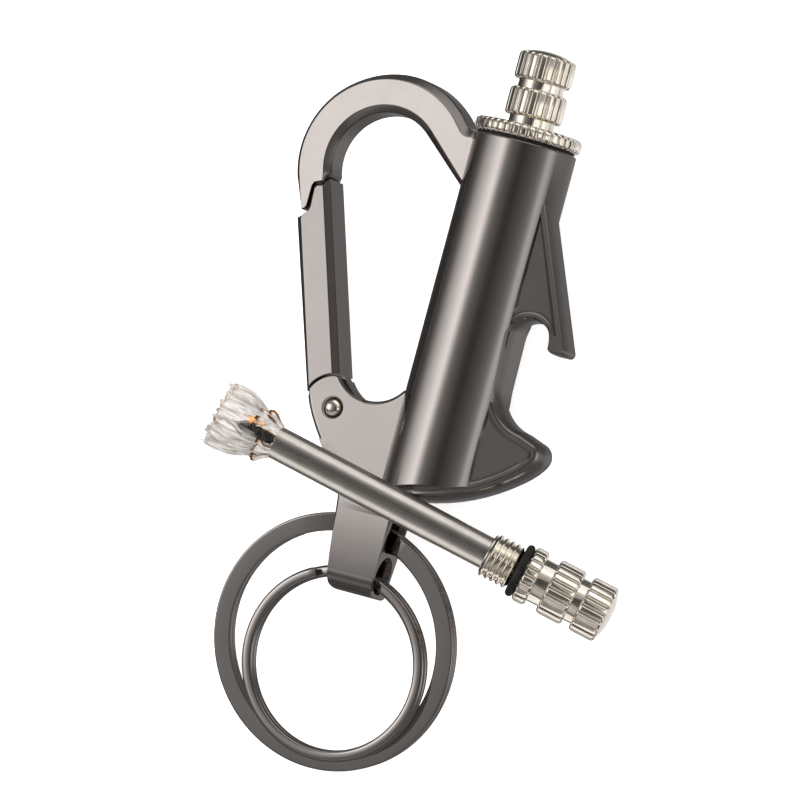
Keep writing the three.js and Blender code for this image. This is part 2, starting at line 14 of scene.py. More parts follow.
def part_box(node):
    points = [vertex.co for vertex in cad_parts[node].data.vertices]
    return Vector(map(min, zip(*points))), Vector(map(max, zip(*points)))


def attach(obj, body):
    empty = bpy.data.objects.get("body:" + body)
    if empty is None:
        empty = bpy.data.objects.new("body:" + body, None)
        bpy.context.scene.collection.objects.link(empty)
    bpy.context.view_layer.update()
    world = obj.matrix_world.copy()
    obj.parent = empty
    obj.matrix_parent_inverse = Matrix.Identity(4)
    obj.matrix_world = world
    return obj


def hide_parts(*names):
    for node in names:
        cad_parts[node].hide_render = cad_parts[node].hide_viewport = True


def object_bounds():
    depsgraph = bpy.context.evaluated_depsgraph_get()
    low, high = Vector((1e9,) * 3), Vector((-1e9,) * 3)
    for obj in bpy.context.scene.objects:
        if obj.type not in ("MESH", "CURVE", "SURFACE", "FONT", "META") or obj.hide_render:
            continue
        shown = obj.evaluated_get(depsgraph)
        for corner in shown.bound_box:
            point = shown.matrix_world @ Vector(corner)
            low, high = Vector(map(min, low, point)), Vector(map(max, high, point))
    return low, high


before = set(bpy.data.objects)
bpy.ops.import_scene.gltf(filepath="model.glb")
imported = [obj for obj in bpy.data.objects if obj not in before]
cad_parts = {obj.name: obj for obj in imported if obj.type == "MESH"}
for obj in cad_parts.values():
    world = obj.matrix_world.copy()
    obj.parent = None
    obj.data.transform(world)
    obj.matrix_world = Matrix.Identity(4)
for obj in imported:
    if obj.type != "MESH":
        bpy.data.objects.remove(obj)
cad_low, cad_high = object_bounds()

MM = 0.001

# ---------- design dimensions, in mm, about the fuel tube's axis (Y) ----------
# X points to the opener's side and Z to the front; a "half" is half a thickness along Z

TUBE_R, TUBE_TOP, TANK_R, TANK_FLOOR = 6.65, 45.3, 4.7, 3.2
FRAME_HALF, NECK_HALF, ARCH_BACK = 3.1, 3.5, -2.9
EDGE_LEFT, EDGE_RIGHT, EDGE_IN, EDGE_LOBE, EDGE_SEAM = 0.55, 1.1, 0.9, 0.4, 0.06
PIVOT = np.array([-14.9, 6.98])
ABOUT_PIVOT = Matrix.Translation((*PIVOT, 0)) @ Matrix.Rotation(rad(90), 4, "X")
GATE_LEAN = rad(19)
LEAN = degrees(GATE_LEAN)
GATE_LEFT, GATE_RIGHT, GATE_TOP = -3.05, 0.18, 28.58
GATE_EDGE_IN, GATE_EDGE_OUT = 0.8, 0.7
LOBE_R, GATE_FOOT_R = 4.0, 4.35
TONGUE_R, TONGUE_HALF, CLEVIS_HALF, HEEL = 3.1, 1.2, 1.5, -1.7
PIN_R, PIN_HOLE_R, GATE_HOLE_R = 0.8, 0.86, 0.92
SWELL_TOP, SWELL_END = 2.8, -0.4
NECK_BOTTOM, SLOT_Y, SLOT_H, SLOT_D, SLOT_CORNER = -14.9, -6.85, 4.0, 4.9, 0.9
HOLE_Y, HOLE_R = -12.1, 2.2
OPENER_FRONT, OPENER_BACK, PANEL_FRONT, OPENER_EDGE = 3.5, -1.3, 3.2, 0.35
HOOK_TIP, HOOK_BAY, HOOK_BAY_R, HOOK_PANEL_R = np.array([12.4, 20.9]), (8.3, 21.2), 2.95, 3.55
LOWER_BAY, LOWER_BAY_R, LOWER_PANEL_R = (11.3, 15.3), 5.75, 6.85
FIN_C, FIN_R = (-5.5, 24.95), 26.7
BEAD_R, BEAD_H = 1.0, 2.6
# steps of a panel's border: (outwards from its outline, above its floor)
PANEL_BORDER = [(-0.45, 0.0), (-0.25, 0.02), (-0.08, 0.08), (0.06, 0.17), (0.16, 0.27),
                (0.3, 0.36), (0.5, 4.0)]
CHAMFER_SLOPE = 0.65
ARCH_C, ARCH_OUT_R, ARCH_IN_R = np.array([-16.95, 38.15]), 11.2, 7.9
FLINT_R, FLINT_LOW, FLINT_HIGH = 1.5, 13.5, 30.5
COLLAR_R, COLLAR_RIBS, COLLAR_BASE, COLLAR_TOP = 6.95, 41, 45.65, 47.4
HEAD_R, HEAD_TEETH, GROOVE_R = 3.72, 21, 2.95
BAND_C, GROOVE_B, BAND_B, GROOVE_A, BAND_A = 3.55, 1.05, 3.6, 1.6, 1.85
BAND_B_AT = BAND_C + GROOVE_B
BAND_A_AT = BAND_B_AT + BAND_B + GROOVE_A
HEAD_SEAT = BAND_A_AT + BAND_A
O_RING_MAJOR, O_RING_MINOR = 3.04, 0.53
THREAD_R, THREAD_ROOT, THREAD_PITCH, THREAD_TURNS, THREAD_START = 2.95, 2.6, 0.8, 5, 12.9
SLEEVE_R, SLEEVE_BORE, SLEEVE_START, SLEEVE_END = 2.14, 1.8, 13.6, 47.3
TUFT_ROOT, TUFT_GAP, PETAL_THICK = 46.7, rad(15), 0.11
STOWED_TOP = 56.8
LOOSE_END, LOOSE_HEADING, LOOSE_SLOPE = (25.55, -9.65, -3.42), rad(166.5), rad(18.75)
LARGE = dict(outer=16.5, width=2.35, coil=0.85, pitch=0.95, round=0.26)
SMALL = dict(outer=12.5, width=1.5, coil=0.95, pitch=1.05, round=0.46)
LARGE_TOP, LARGE_TILT = (-8.7, -6.5, 0.0), rad(10.9)
SMALL_TOP, SMALL_TILT = (-7.48, -12.6, 0.0), rad(7.6)

# how far the shading of the front faces leans towards -X, in degrees; on the flats by the
# height along the tube, on the tube itself by a share of that
FRONT_LEAN = [(-12, -0.9), (-4, 2.9), (0, 3.4), (15, 3.4), (28, 5.8)]
TUBE_SHARE = 0.6
GATE_FRONT_LEAN, OPENER_LEAN, OPENER_LEFT_LEAN = 3.3, -5.9, 1.45

# from the object towards the camera
VIEW_FROM = Vector((0.365, -0.03, 0.93))

# the tube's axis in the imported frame, read from the CAD nodes
sleeve_low, sleeve_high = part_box("stowed_match_sleeve")
collar_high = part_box("tank_collar")[1]
ORIGIN = np.array([(sleeve_low.x + sleeve_high.x) / 2, collar_high.y - COLLAR_TOP * MM,
                   (sleeve_low.z + sleeve_high.z) / 2])

# ---------- mesh helpers ----------


def add_object(name, data):
    obj = bpy.data.objects.new(name, data)
    bpy.context.scene.collection.objects.link(obj)
    return obj


def new_mesh(name, verts, faces, matrix=None):
    """A mesh object from points in mm about the tube's axis, placed in the row frame."""
    points = np.asarray(verts, float)
    if matrix is not None:
        m = np.array(matrix, float)
        points = points @ m[:3, :3].T + m[:3, 3]
    points = points * MM + ORIGIN
    mesh = bpy.data.meshes.new(name)
    mesh.from_pydata([tuple(p) for p in points], [], faces)
    mesh.update()
    return add_object(name, mesh)


def fix_normals(obj):
    bm = bmesh.new()
    bm.from_mesh(obj.data)
    bmesh.ops.recalc_face_normals(bm, faces=bm.faces)
    bm.to_mesh(obj.data)
    bm.free()
    return obj


def smooth(obj, angle):
    """Smooth shading, with edges sharper than angle kept hard (None: no hard edges)."""
    obj.data.shade_smooth()
    if angle is not None:
        obj.data.set_sharp_from_angle(angle=rad(angle))
    return obj


def apply_modifiers(obj):
    graph = bpy.context.evaluated_depsgraph_get()
    made = bpy.data.meshes.new_from_object(obj.evaluated_get(graph))
    obj.modifiers.clear()
    old = obj.data
    obj.data = made
    bpy.data.meshes.remove(old)
    return made


def keeps_own_normal(n, middle):
    """True for the flats, and for the straight faces of the swell from the lobe to the neck."""
    if SWELL_END - 0.1 < middle[1] < SWELL_TOP + 0.1 and n.z > 0.9 and abs(n.x) < 1e-4 < abs(n.y):
        return True
    return abs(n.z) > 0.9998 and middle[1] > SWELL_TOP - 0.1


def crisp(obj, turned=None):
    """Keeps flat faces flat up to their edges; turned(point, middle, normal) redirects normals."""
    m = obj.modifiers.new("weighted", "WEIGHTED_NORMAL")
    m.keep_sharp = True
    m.weight = 90
    mesh = apply_modifiers(obj)
    if turned:
        normals = [Vector(n.vector) for n in mesh.corner_normals]
        points = [(np.array(v.co) - ORIGIN) / MM for v in mesh.vertices]
        for face in mesh.polygons:
            middle = (np.array(face.center) - ORIGIN) / MM
            own = keeps_own_normal(face.normal, middle)
            for corner in face.loop_indices:
                n = face.normal.copy() if own else normals[corner]
                normals[corner] = turned(points[mesh.loops[corner].vertex_index], middle, n)
        mesh.normals_split_custom_set(normals)
    return obj


def about_y(n, angle):
    """A normal turned towards -X by an angle about Y."""
    return Matrix.Rotation(-rad(angle), 3, "Y") @ n


def body_normals(point, middle, n):
    """The front flats lean a little; the opener's front leans the other way."""
    on_opener = middle[0] > 3.5 and hypot(middle[0], middle[2]) > TUBE_R + 0.02
    if not on_opener or n.z < 0.3:
        if middle[1] < SWELL_TOP + 0.1 and n.z > 0.8:
            # the swell doesn't show in the plating; further down the neck turns away softly
            n = Vector((n.x, n.y * smoothstep(-point[1], 1.0, 8.0), n.z)).normalized()
        share = TUBE_SHARE if middle[2] > NECK_HALF + 0.1 else 1.0
        lean = float(np.interp(point[1], *zip(*FRONT_LEAN)))
        return about_y(n, share * lean * smoothstep(n.z, 0.9, 0.985))
    n = Vector((n.x, n.y * 0.55, n.z)).normalized()
    side = degrees(atan2(n.x, n.z))
    share = smoothstep(n.z, 0.3, 0.75)
    if side < 0:
        return about_y(n, (OPENER_LEAN + OPENER_LEFT_LEAN * side) * share)
    return about_y(n, OPENER_LEAN * max(0.0, 1 - side / 60) * share)


def boolean(target, tools, operation):
    """Applies booleans to target and removes the tools."""
    for tool in tools:
        m = target.modifiers.new("bool", "BOOLEAN")
        m.operation = operation
        m.solver = "MANIFOLD"
        m.object = tool
        apply_modifiers(target)
        bpy.data.objects.remove(tool)
    return target


def join_objects(name, objs):
    """Several meshes as one object, loose parts kept."""
    bm = bmesh.new()
    for o in objs:
        bm.from_mesh(o.data)
    mesh = bpy.data.meshes.new(name)
    bm.to_mesh(mesh)
    bm.free()
    for o in objs:
        bpy.data.objects.remove(o)
    return add_object(name, mesh)


def place(obj, body, material, slot, *nodes):
    """Gives a finished piece its body and material and hides the CAD nodes it stands for; slot is not used.
    """
    obj.data.materials.clear()
    obj.data.materials.append(material)
    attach(obj, body)
    if nodes:
        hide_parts(*nodes)
    return obj


# ---------- outlines ----------


class Outline:
    """A closed path of lines, arcs (degrees) and curves in the XY plane."""

    def __init__(self, x, y):
        self.points = [(x, y)]

    def line(self, x, y):
        self.points.append((x, y))
        return self

    def arc(self, cx, cy, r, start, end, clockwise=False):
        a, b = rad(start), rad(end)
        while not clockwise and b < a:
            b += 2 * pi
        while clockwise and b > a:
            b -= 2 * pi
        steps = max(4, int(ceil(abs(b - a) / rad(4))))
        for i in range(steps + 1):
            t = a + (b - a) * i / steps
            self.points.append((cx + r * cos(t), cy + r * sin(t)))
        return self

    def bezier(self, *xy, steps=18):
        p = [np.array(self.points[-1])] + [np.array(xy[i:i + 2]) for i in (0, 2, 4)]
        for i in range(1, steps + 1):
            t = i / steps
            q = (1 - t) ** 3 * p[0] + 3 * (1 - t) ** 2 * t * p[1]
            q = q + 3 * (1 - t) * t * t * p[2] + t ** 3 * p[3]
            self.points.append(tuple(q))
        return self

    def done(self, spacing=0.13):
        """The points, counterclockwise, without those closer together than spacing."""
        kept = []
        for p in self.points:
            if not kept or dist(kept[-1], p) > spacing:
                kept.append(p)
        if dist(kept[0], kept[-1]) < spacing:
            kept.pop()
        a = np.array(kept)
        x, y = a[:, 0], a[:, 1]
        if np.sum(x * np.roll(y, -1) - y * np.roll(x, -1)) < 0:
            a = a[::-1]
        return a


def skin(n, count, close=False, base=0):
    """Faces of a skin through count rings of n points, capped unless it closes on itself."""
    faces = []
    for k in range(count if close else count - 1):
        a, b = base + k * n, base + (k + 1) % count * n
        faces += [(a + i, a + (i + 1) % n, b + (i + 1) % n, b + i) for i in range(n)]
    if not close:
        last = base + (count - 1) * n
        faces += [tuple(range(base, base + n))[::-1], tuple(range(last, last + n))]
    return faces


def loft(name, rings, matrix=None, close=False):
    faces = skin(len(rings[0]), len(rings), close)
    return fix_normals(new_mesh(name, np.concatenate(rings), faces, matrix))


def lift(points, z):
    return np.column_stack([points, np.full(len(points), z)])


def chamfer_profile(edge, depth, soft=0.22):
    """(share of the bevel, drop) pairs of a chamfer with rounded arrises."""
    corners = [(-soft / max(edge, 0.2), 0.0), (0.0, 0.0), (1.0, depth), (1.0, depth + soft)]
    out = [corners[0]]
    for k, before, after in ((1, 0.95, 0.18), (2, 0.18, 0.9)):
        a, p, b = (np.array(corners[i]) for i in (k - 1, k, k + 1))
        start, end = p + (a - p) * before, p + (b - p) * after
        for i in range(4):
            t = i / 3
            out.append(tuple((1 - t) ** 2 * start + 2 * (1 - t) * t * p + t * t * end))
    return out


def plate(name, face, low, high, bevel, depth=0.0):
    """Flat plate with softly rounded chamfers round both faces."""
    sizes = np.array([bevel(p) if callable(bevel) else bevel for p in face])
    edge = sizes.max()
    rings = []
    top = [(s, high - d) for s, d in chamfer_profile(edge, edge * CHAMFER_SLOPE)]
    bottom = [(s, low + d) for s, d in chamfer_profile(edge, depth or edge)]
    for share, z in bottom + top[::-1]:
        amount = sizes * share if share >= 0 else np.minimum(sizes, 0.3) * share
        rings.append(lift(shifted(face, amount), z))
    return loft(name, rings)


def shifted(points, sizes):
    """The outline moved outwards by one size, or by a size for each point."""
    before = points - np.roll(points, 1, 0)
    after = np.roll(points, -1, 0) - points
    before /= norm(before, axis=1)[:, None]
    after /= norm(after, axis=1)[:, None]
    normal = np.stack([before[:, 1] + after[:, 1], -before[:, 0] - after[:, 0]], 1)
    normal /= norm(normal, axis=1)[:, None]
    spread = np.maximum(0.6, normal[:, 0] * after[:, 1] - normal[:, 1] * after[:, 0])
    return points + normal * (sizes / spread)[:, None]


def slab(name, points, low, high):
    return loft(name, [lift(points, low), lift(points, high)])


def lathe(name, rows, segments, matrix=None, close=False):
    """Skin of revolution about Y. A row is (y, radius) or (y, function of the angle)."""
    angles = np.arange(segments) * 2 * pi / segments
    rings = []
    for y, r in rows:
        radii = r(angles) if callable(r) else r
        rings.append(np.column_stack([radii * np.cos(angles), np.full(segments, y), radii * np.sin(angles)]))
    return loft(name, rings, matrix, close)


def rod(name, r, low, high, segments=96, turn=None):
    return lathe(name, [(low, r), (high, r)], segments, turn)


def gate_point(x, y):
    """A point given along the leaning gate's own axes, from its pivot."""
    c, s = cos(GATE_LEAN), sin(GATE_LEAN)
    return PIVOT + np.array([x * c - y * s, x * s + y * c])


def gate_lines(path, *points):
    for p in points:
        path.line(*gate_point(*p))
    return path


def across(point):
    """How far a point lies to the right of the gate's own axis."""
    d = point - PIVOT
    return d[0] * cos(GATE_LEAN) + d[1] * sin(GATE_LEAN)


def smoothstep(x, a, b):
    t = min(1.0, max(0.0, (x - a) / (b - a)))
    return t * t * (3 - 2 * t)


# ---------- body casting and gate ----------


def arch():
    path = Outline(-4, 43.6).line(-4, 37.1)
    path.arc(*ARCH_C, ARCH_IN_R, 48, 180 + LEAN)
    gate_lines(path, (0.1, 29.2), (-0.95, 29.15), (-1.34, 28.75), (-2.2, 26.3), (-2.5, 25.95), (-2.95, 25.9))
    path.arc(*ARCH_C, ARCH_OUT_R, 180 + LEAN, 46, True)
    path.line(-7.9, 44.85).arc(-6.75, 45.9, 1.55, 222, 290)
    face = path.done()
    nose = gate_point(-1.4, 27.4)

    def edge(p):
        if norm(p - nose) < 2.6:
            return EDGE_SEAM
        inside = norm(p - ARCH_C) < ARCH_IN_R + 0.9 or (p[0] > -12 and p[1] < 43.5)
        side = smoothstep(p[0], -24, -12)
        return EDGE_IN if inside else EDGE_LEFT + (EDGE_RIGHT - EDGE_LEFT) * side

    return plate("arch", face, ARCH_BACK, FRAME_HALF, edge, 1.5)


def lobe_face():
    path = Outline(-3.3, 8).line(-4, 12.3)
    path.arc(-10.69, 14.33, 5.77, -36, -143, True)
    path.arc(*PIVOT, LOBE_R, 97, 157)
    path.bezier(-16.9, 3.4, -11.1, -0.9, -10.65, -3.8)
    path.line(-9.45, -13.8)
    path.arc(-8.8, NECK_BOTTOM + 0.75, 0.6, 185, 262)
    path.arc(-4.75, NECK_BOTTOM + 0.35, 0.6, 278, 360)
    path.line(-3.5, -5)
    return path.done()


def lobe_and_neck():
    face = lobe_face()

    def edge(p):
        under = norm(p - PIVOT) < LOBE_R + 0.05 and p[1] > PIVOT[1] + 1.2
        return EDGE_SEAM if under else EDGE_LOBE

    lobe = plate("lobe", face, -FRAME_HALF, FRAME_HALF, edge)
    neck = plate("neck", face, -NECK_HALF, NECK_HALF, EDGE_LOBE)
    half = np.array([[-20, -39.5], [10, -39.5], [10, SWELL_TOP], [-20, SWELL_TOP]], float)
    boolean(neck, [slab("below", half, -10, 10)], "INTERSECT")
    boolean(lobe, [neck], "UNION")
    # seen from the side: the swell, the tapering neck and its round end
    side = Outline(20, -FRAME_HALF - 0.05).line(20, FRAME_HALF + 0.05).line(4, FRAME_HALF + 0.05)
    side.line(SWELL_TOP, FRAME_HALF - 0.001)
    side.bezier(1.5, FRAME_HALF, 1.0, NECK_HALF, SWELL_END, NECK_HALF)
    side.bezier(-5, NECK_HALF, -9.4, NECK_HALF - 0.12, NECK_BOTTOM + 2.2, NECK_HALF - 0.55)
    side.arc(NECK_BOTTOM + 2.2, NECK_HALF - 2.95, 2.4, 84, 180)
    side.arc(NECK_BOTTOM + 1.2, -NECK_HALF + 1.4, 1.4, 180, 270)
    side.line(SWELL_END, -NECK_HALF)
    side.bezier(1.0, -NECK_HALF, 1.5, -FRAME_HALF, SWELL_TOP, -FRAME_HALF + 0.001)
    side.line(4, -FRAME_HALF - 0.05)
    profile = side.done()
    rings = [np.column_stack([np.full(len(profile), x), profile]) for x in (-40, 10)]
    return boolean(lobe, [loft("rounding", rings)], "INTERSECT")


def opener():
    """Hook and fin, with a half-round rim and two sunk panels on the front."""
    path = Outline(3, 45.1).arc(12.9, 20.95, 0.28, 23, -90, True).arc(11.6, 20.98, 0.33, 270, 185, True)
    path.arc(*HOOK_BAY, HOOK_BAY_R, 2, 180).arc(*LOWER_BAY, LOWER_BAY_R, 180, 262)
    path.arc(12.25, 7.4, 1.5, 70, -30, True).bezier(12.95, 5.61, 12.12, 4.83, 10.938, 3.91)
    path.arc(*FIN_C, FIN_R, -52, -80.5, True)
    path.arc(-0.68, -4.06, 2.8, 99, 180)
    path.line(-5.2, -4.06).line(-5.2, 2).line(3, 2.6)
    outline = path.done()
    bead = np.array([OPENER_EDGE + (BEAD_R - OPENER_EDGE) * smoothstep(norm(p - HOOK_TIP), 1.2, 4.5)
                     for p in outline])
    rings = [lift(shifted(outline, s * OPENER_EDGE), OPENER_BACK + d)
             for s, d in chamfer_profile(OPENER_EDGE, OPENER_EDGE)]
    for a in np.linspace(pi / 2, 0, 16):
        spots = shifted(outline, OPENER_EDGE - bead * (1 - sin(a)))
        rings.append(lift(spots, OPENER_FRONT - BEAD_H * (1 - cos(a))))
    body = loft("opener", rings)

    upper = Outline(3, 43.2).line(11.75, 22.6).line(11.6, 22.4).arc(*HOOK_BAY, HOOK_PANEL_R, 20, 160)
    upper.line(3, 22.5)
    lower = Outline(3, 15.5).line(4.6, 13.6).arc(*LOWER_BAY, LOWER_PANEL_R, 197, 262)
    lower.arc(11.9, 7.25, 0.73, 62, -45, True).arc(*FIN_C, FIN_R - 1.15, -45, -76, True).line(0, 8)
    tools = []
    for name, panel in (("upper", upper), ("lower", lower)):
        face = panel.done()
        rings = [lift(shifted(face, out), PANEL_FRONT + up) for out, up in PANEL_BORDER]
        tools.append(loft(name, rings))
    return boolean(body, tools, "DIFFERENCE")


def notch_tool():
    """Clears the tube's side where the two bays of the opener cut into it."""
    path = Outline(7.6, 10.8).line(7.6, 23.9)
    path.arc(*HOOK_BAY, HOOK_BAY_R, 105, 180).arc(*LOWER_BAY, LOWER_BAY_R, 180, 226)
    return slab("notch", path.done(), -9, 9)


def tube():
    rows = [(-3, TUBE_R)] + [(TUBE_TOP - 0.25 + 0.25 * sin(a), TUBE_R - 0.25 + 0.25 * cos(a))
                             for a in np.linspace(0, pi / 2, 6)]
    outer = lathe("tube", rows, 192)
    # its foot follows the fin's curve
    foot = Outline(16, 60).line(-16, 60).arc(*FIN_C, FIN_R - 0.75, -150, -30).done()
    rings = [lift(shifted(foot, s), z) for s, z in [(-1.0, -8), (0, -5.5), (0, 5.5), (-1.0, 8)]]
    return boolean(outer, [loft("hull", rings)], "INTERSECT")


def neck_tools():
    """Slot and hole for the two rings, flared towards the right."""
    right, left = SLOT_Y + SLOT_H / 2 - SLOT_CORNER, SLOT_Y - SLOT_H / 2 + SLOT_CORNER
    reach = SLOT_D / 2 - SLOT_CORNER
    slot = Outline(right + SLOT_CORNER, reach)
    for k, (x, y) in enumerate([(right, reach), (left, reach), (left, -reach), (right, -reach)]):
        slot.arc(x, y, SLOT_CORNER, 90 * k, 90 * k + 90)
    section = slot.done(0.05)
    steps = [(-14, 0.0), (-4.3, 0.0), (-3.9, 0.06), (-3.5, 0.25), (0, 0.9)]
    rings = [np.column_stack([np.full(len(section), x), shifted(section, s)]) for x, s in steps]
    flare = [(-14, 0.0), (-4.6, 0.0), (-4.2, 0.06), (-3.8, 0.25), (0, 0.9)]
    flare = [(x, HOLE_R + wider) for x, wider in flare]
    turn = Matrix.Translation((0, HOLE_Y, 0)) @ Matrix.Rotation(rad(-90), 4, "Z")
    return [loft("slot", rings), lathe("round", flare, 64, turn)]


def clevis_tools():
    path = gate_lines(Outline(*gate_point(-6, 1)), (-2.2, -2.9))
    path.arc(*PIVOT, TONGUE_R + 0.35, -126 + LEAN, 50 + LEAN)
    gate_lines(path, (2.6, 7), (-6, 7))
    return [
        slab("clevis", path.done(), -CLEVIS_HALF, CLEVIS_HALF),
        rod("pin_hole", PIN_HOLE_R, -7, 7, 48, ABOUT_PIVOT),
    ]


def flint_outline(margin):
    r = FLINT_R + margin
    return Outline(-r, FLINT_LOW).arc(0, FLINT_LOW, r, 180, 360).arc(0, FLINT_HIGH, r, 0, 180).done(0.05)


def countersinks():
    front = [(FRAME_HALF - 0.6, 0.5), (FRAME_HALF - 0.55, 1.0), (FRAME_HALF - 0.1, 1.33),
             (FRAME_HALF + 0.02, 1.5), (FRAME_HALF + 1, 2.4)]
    back = [(-y, r) for y, r in front[::-1]]
    return [lathe("sink", rows, 64, ABOUT_PIVOT) for rows in (front, back)]


def body_casting():
    whole = arch()
    boolean(whole, [lobe_and_neck(), opener(), boolean(tube(), [notch_tool()], "DIFFERENCE")], "UNION")
    tools = [
        rod("seat", COLLAR_R + 0.25, TUBE_TOP, TUBE_TOP + 8),
        rod("tank", TANK_R, TANK_FLOOR, TUBE_TOP + 5),
        slab("flint_pocket", flint_outline(0.12), -9, -5.3),
    ]
    boolean(whole, tools + neck_tools() + clevis_tools() + countersinks(), "DIFFERENCE")
    return crisp(smooth(whole, 28), body_normals)


def gate_normals(point, middle, n):
    return about_y(n, GATE_FRONT_LEAN) if n.z > 0.99 else n


def gate_bar():
    path = Outline(*gate_point(GATE_RIGHT, GATE_TOP))
    gate_lines(path, (-0.65, GATE_TOP), (-0.99, 28.3), (-1.66, 26.0), (-1.95, 25.55), (-2.8, 25.17),
               (GATE_LEFT, 24.7))
    start, end = (degrees(atan2(sqrt(GATE_FOOT_R ** 2 - x ** 2), x))
                  for x in (GATE_LEFT, GATE_RIGHT))
    path.arc(*PIVOT, GATE_FOOT_R, start + LEAN, end + LEAN, True)
    tip = gate_point(-1.4, 27.0)

    def edge(p):
        if norm(p - tip) < 2.7 and across(p) < GATE_RIGHT - 0.3:
            return EDGE_SEAM
        return GATE_EDGE_IN if across(p) > GATE_RIGHT - 0.3 else GATE_EDGE_OUT

    bar = plate("bar", path.done(), -FRAME_HALF, FRAME_HALF, edge)
    boolean(bar, [rod("foot", GATE_FOOT_R, -7, 7, 128, ABOUT_PIVOT)], "DIFFERENCE")
    first = gate_point(TONGUE_R * cos(rad(160)), TONGUE_R * sin(rad(160)))
    tongue = Outline(*first).arc(*PIVOT, TONGUE_R, 160 + LEAN, 285 + LEAN)
    gate_lines(tongue, (1.0, HEEL), (2.5, HEEL), (2.95, HEEL + 0.6), (2.95, 0.5), (GATE_RIGHT - 0.1, 6),
               (GATE_LEFT + 0.5, 6))
    boolean(bar, [slab("blade", tongue.done(), -TONGUE_HALF, TONGUE_HALF)], "UNION")
    boolean(bar, [rod("hole", GATE_HOLE_R, -7, 7, 48, ABOUT_PIVOT)], "DIFFERENCE")
    return crisp(smooth(bar, 28), gate_normals)


def rivet():
    dome = [(-0.45, PIN_R), (-0.4, 0.92), (-0.3, 1.03), (-0.12, 1.1), (0.06, 1.06), (0.22, 0.92),
            (0.34, 0.7), (0.41, 0.45), (0.45, 0.2), (0.455, 0.02)]
    dome = [(FRAME_HALF + up, r) for up, r in dome]
    rows = [(-y, r) for y, r in dome[::-1]] + dome
    return smooth(lathe("rivet", rows, 64, ABOUT_PIVOT), 40)


# ---------- turned and knurled pieces ----------


def ribs(count, depth, share, phase=0.0):
    """Depth of the grooves between round-shouldered ribs, as a function of the angle."""
    def groove(angles):
        p = (angles * count / (2 * pi) + phase) % 1.0
        d = np.minimum(p, 1 - p) * 2
        t = np.clip(1 - d / share, 0, 1)
        return depth * t * t * (3 - 2 * t)
    return groove


def knurled_rows(low, high, radius, bevel, groove, inner):
    """Rows of one knurled band from its low wall to its high wall."""
    profile = [(0.0, bevel), (0.3 * bevel, 0.55 * bevel), (0.65 * bevel, 0.2 * bevel), (bevel, 0.03),
               (1.5 * bevel, 0.0)]

    def row(y, inside, cut):
        share = 0.35 + 0.65 * min(1, inside / bevel)
        return (y, lambda a: radius - cut - groove(a) * share)

    rows = [(low, inner)]
    rows += [row(low + d, d, cut) for d, cut in profile]
    rows += [row(high - d, d, cut) for d, cut in profile[::-1]]
    return rows + [(high, inner)]


def collar():
    groove = ribs(COLLAR_RIBS, 0.34, 0.5)
    rows = [(40.5, 3.15), (40.5, 4.4), (COLLAR_BASE, 4.4)]
    rows += knurled_rows(COLLAR_BASE, COLLAR_TOP, COLLAR_R, 0.42, groove, 5.6)[1:-1]
    rows += [(COLLAR_TOP - drop, r) for drop, r in
             ((0, 5.75), (0.05, 5.6), (0.05, 4.75), (0.12, 4.6), (0.6, 4.05), (0.7, 4.0))]
    rows += [(44.0, 4.0), (44.0, 3.15)]
    return smooth(lathe("collar", rows, COLLAR_RIBS * 14, close=True), 42)


def match_head(name, matrix):
    """Three knurled bands from a low dome downwards, then the thread."""
    groove = ribs(HEAD_TEETH, 0.34, 0.46)
    rows = [(0.62, 0.02), (0.6, 0.7), (0.53, 1.4), (0.4, 2.1), (0.22, 2.7), (0.04, 3.08), (-0.02, 3.18)]
    for start, length in ((0, BAND_C), (BAND_B_AT, BAND_B), (BAND_A_AT, BAND_A)):
        band = knurled_rows(-start - length, -start, HEAD_R, 0.34, groove, GROOVE_R)[::-1]
        rows += band if start else band[1:]
        if start != BAND_A_AT:
            rows += [(-start - length - 0.12, GROOVE_R - 0.02)]
    rows += [(-HEAD_SEAT - 0.02, 2.4), (-THREAD_START + 0.05, 2.4)]

    def thread(y, fade):
        def radius(angles):
            p = (-(y + THREAD_START) / THREAD_PITCH + angles / (2 * pi)) % 1.0
            t = 1 - abs(2 * p - 1)
            crest = fade * (THREAD_R - THREAD_ROOT)
            return THREAD_ROOT - 0.12 * (1 - fade) + crest * np.sin(t * pi / 2) ** 1.3
        return radius

    length, steps = THREAD_TURNS * THREAD_PITCH, 120
    for i in range(steps + 1):
        y = -THREAD_START - length * i / steps
        rows.append((y, thread(y, min(1, i / 7, (steps - i) / 7))))
    end = -THREAD_START - length
    rows += [(end, 2.25), (end + 0.1, 2.2), (-THREAD_START - 0.4, 2.2), (-THREAD_START - 0.4, 0.02)]
    return smooth(lathe(name, rows, HEAD_TEETH * 14, matrix), 60)


def ring_seal(name, matrix):
    y0 = -HEAD_SEAT - O_RING_MINOR - 0.04
    rows = [(y0 + O_RING_MINOR * sin(t), O_RING_MAJOR + O_RING_MINOR * cos(t))
            for t in np.arange(24) * 2 * pi / 24]
    return smooth(lathe(name, rows, 96, matrix, close=True), None)


def sleeve(name, matrix):
    r, bore = SLEEVE_R, SLEEVE_BORE
    rows = [(-SLEEVE_START, bore), (-SLEEVE_START, r)]
    rows += [(-SLEEVE_END + 0.5, r), (-SLEEVE_END + 0.18, r - 0.02), (-SLEEVE_END + 0.05, r - 0.09)]
    rows += [(-SLEEVE_END, r - 0.17), (-SLEEVE_END, bore + 0.1), (-SLEEVE_END + 0.06, bore)]
    return smooth(lathe(name, rows, 96, matrix, close=True), 40)


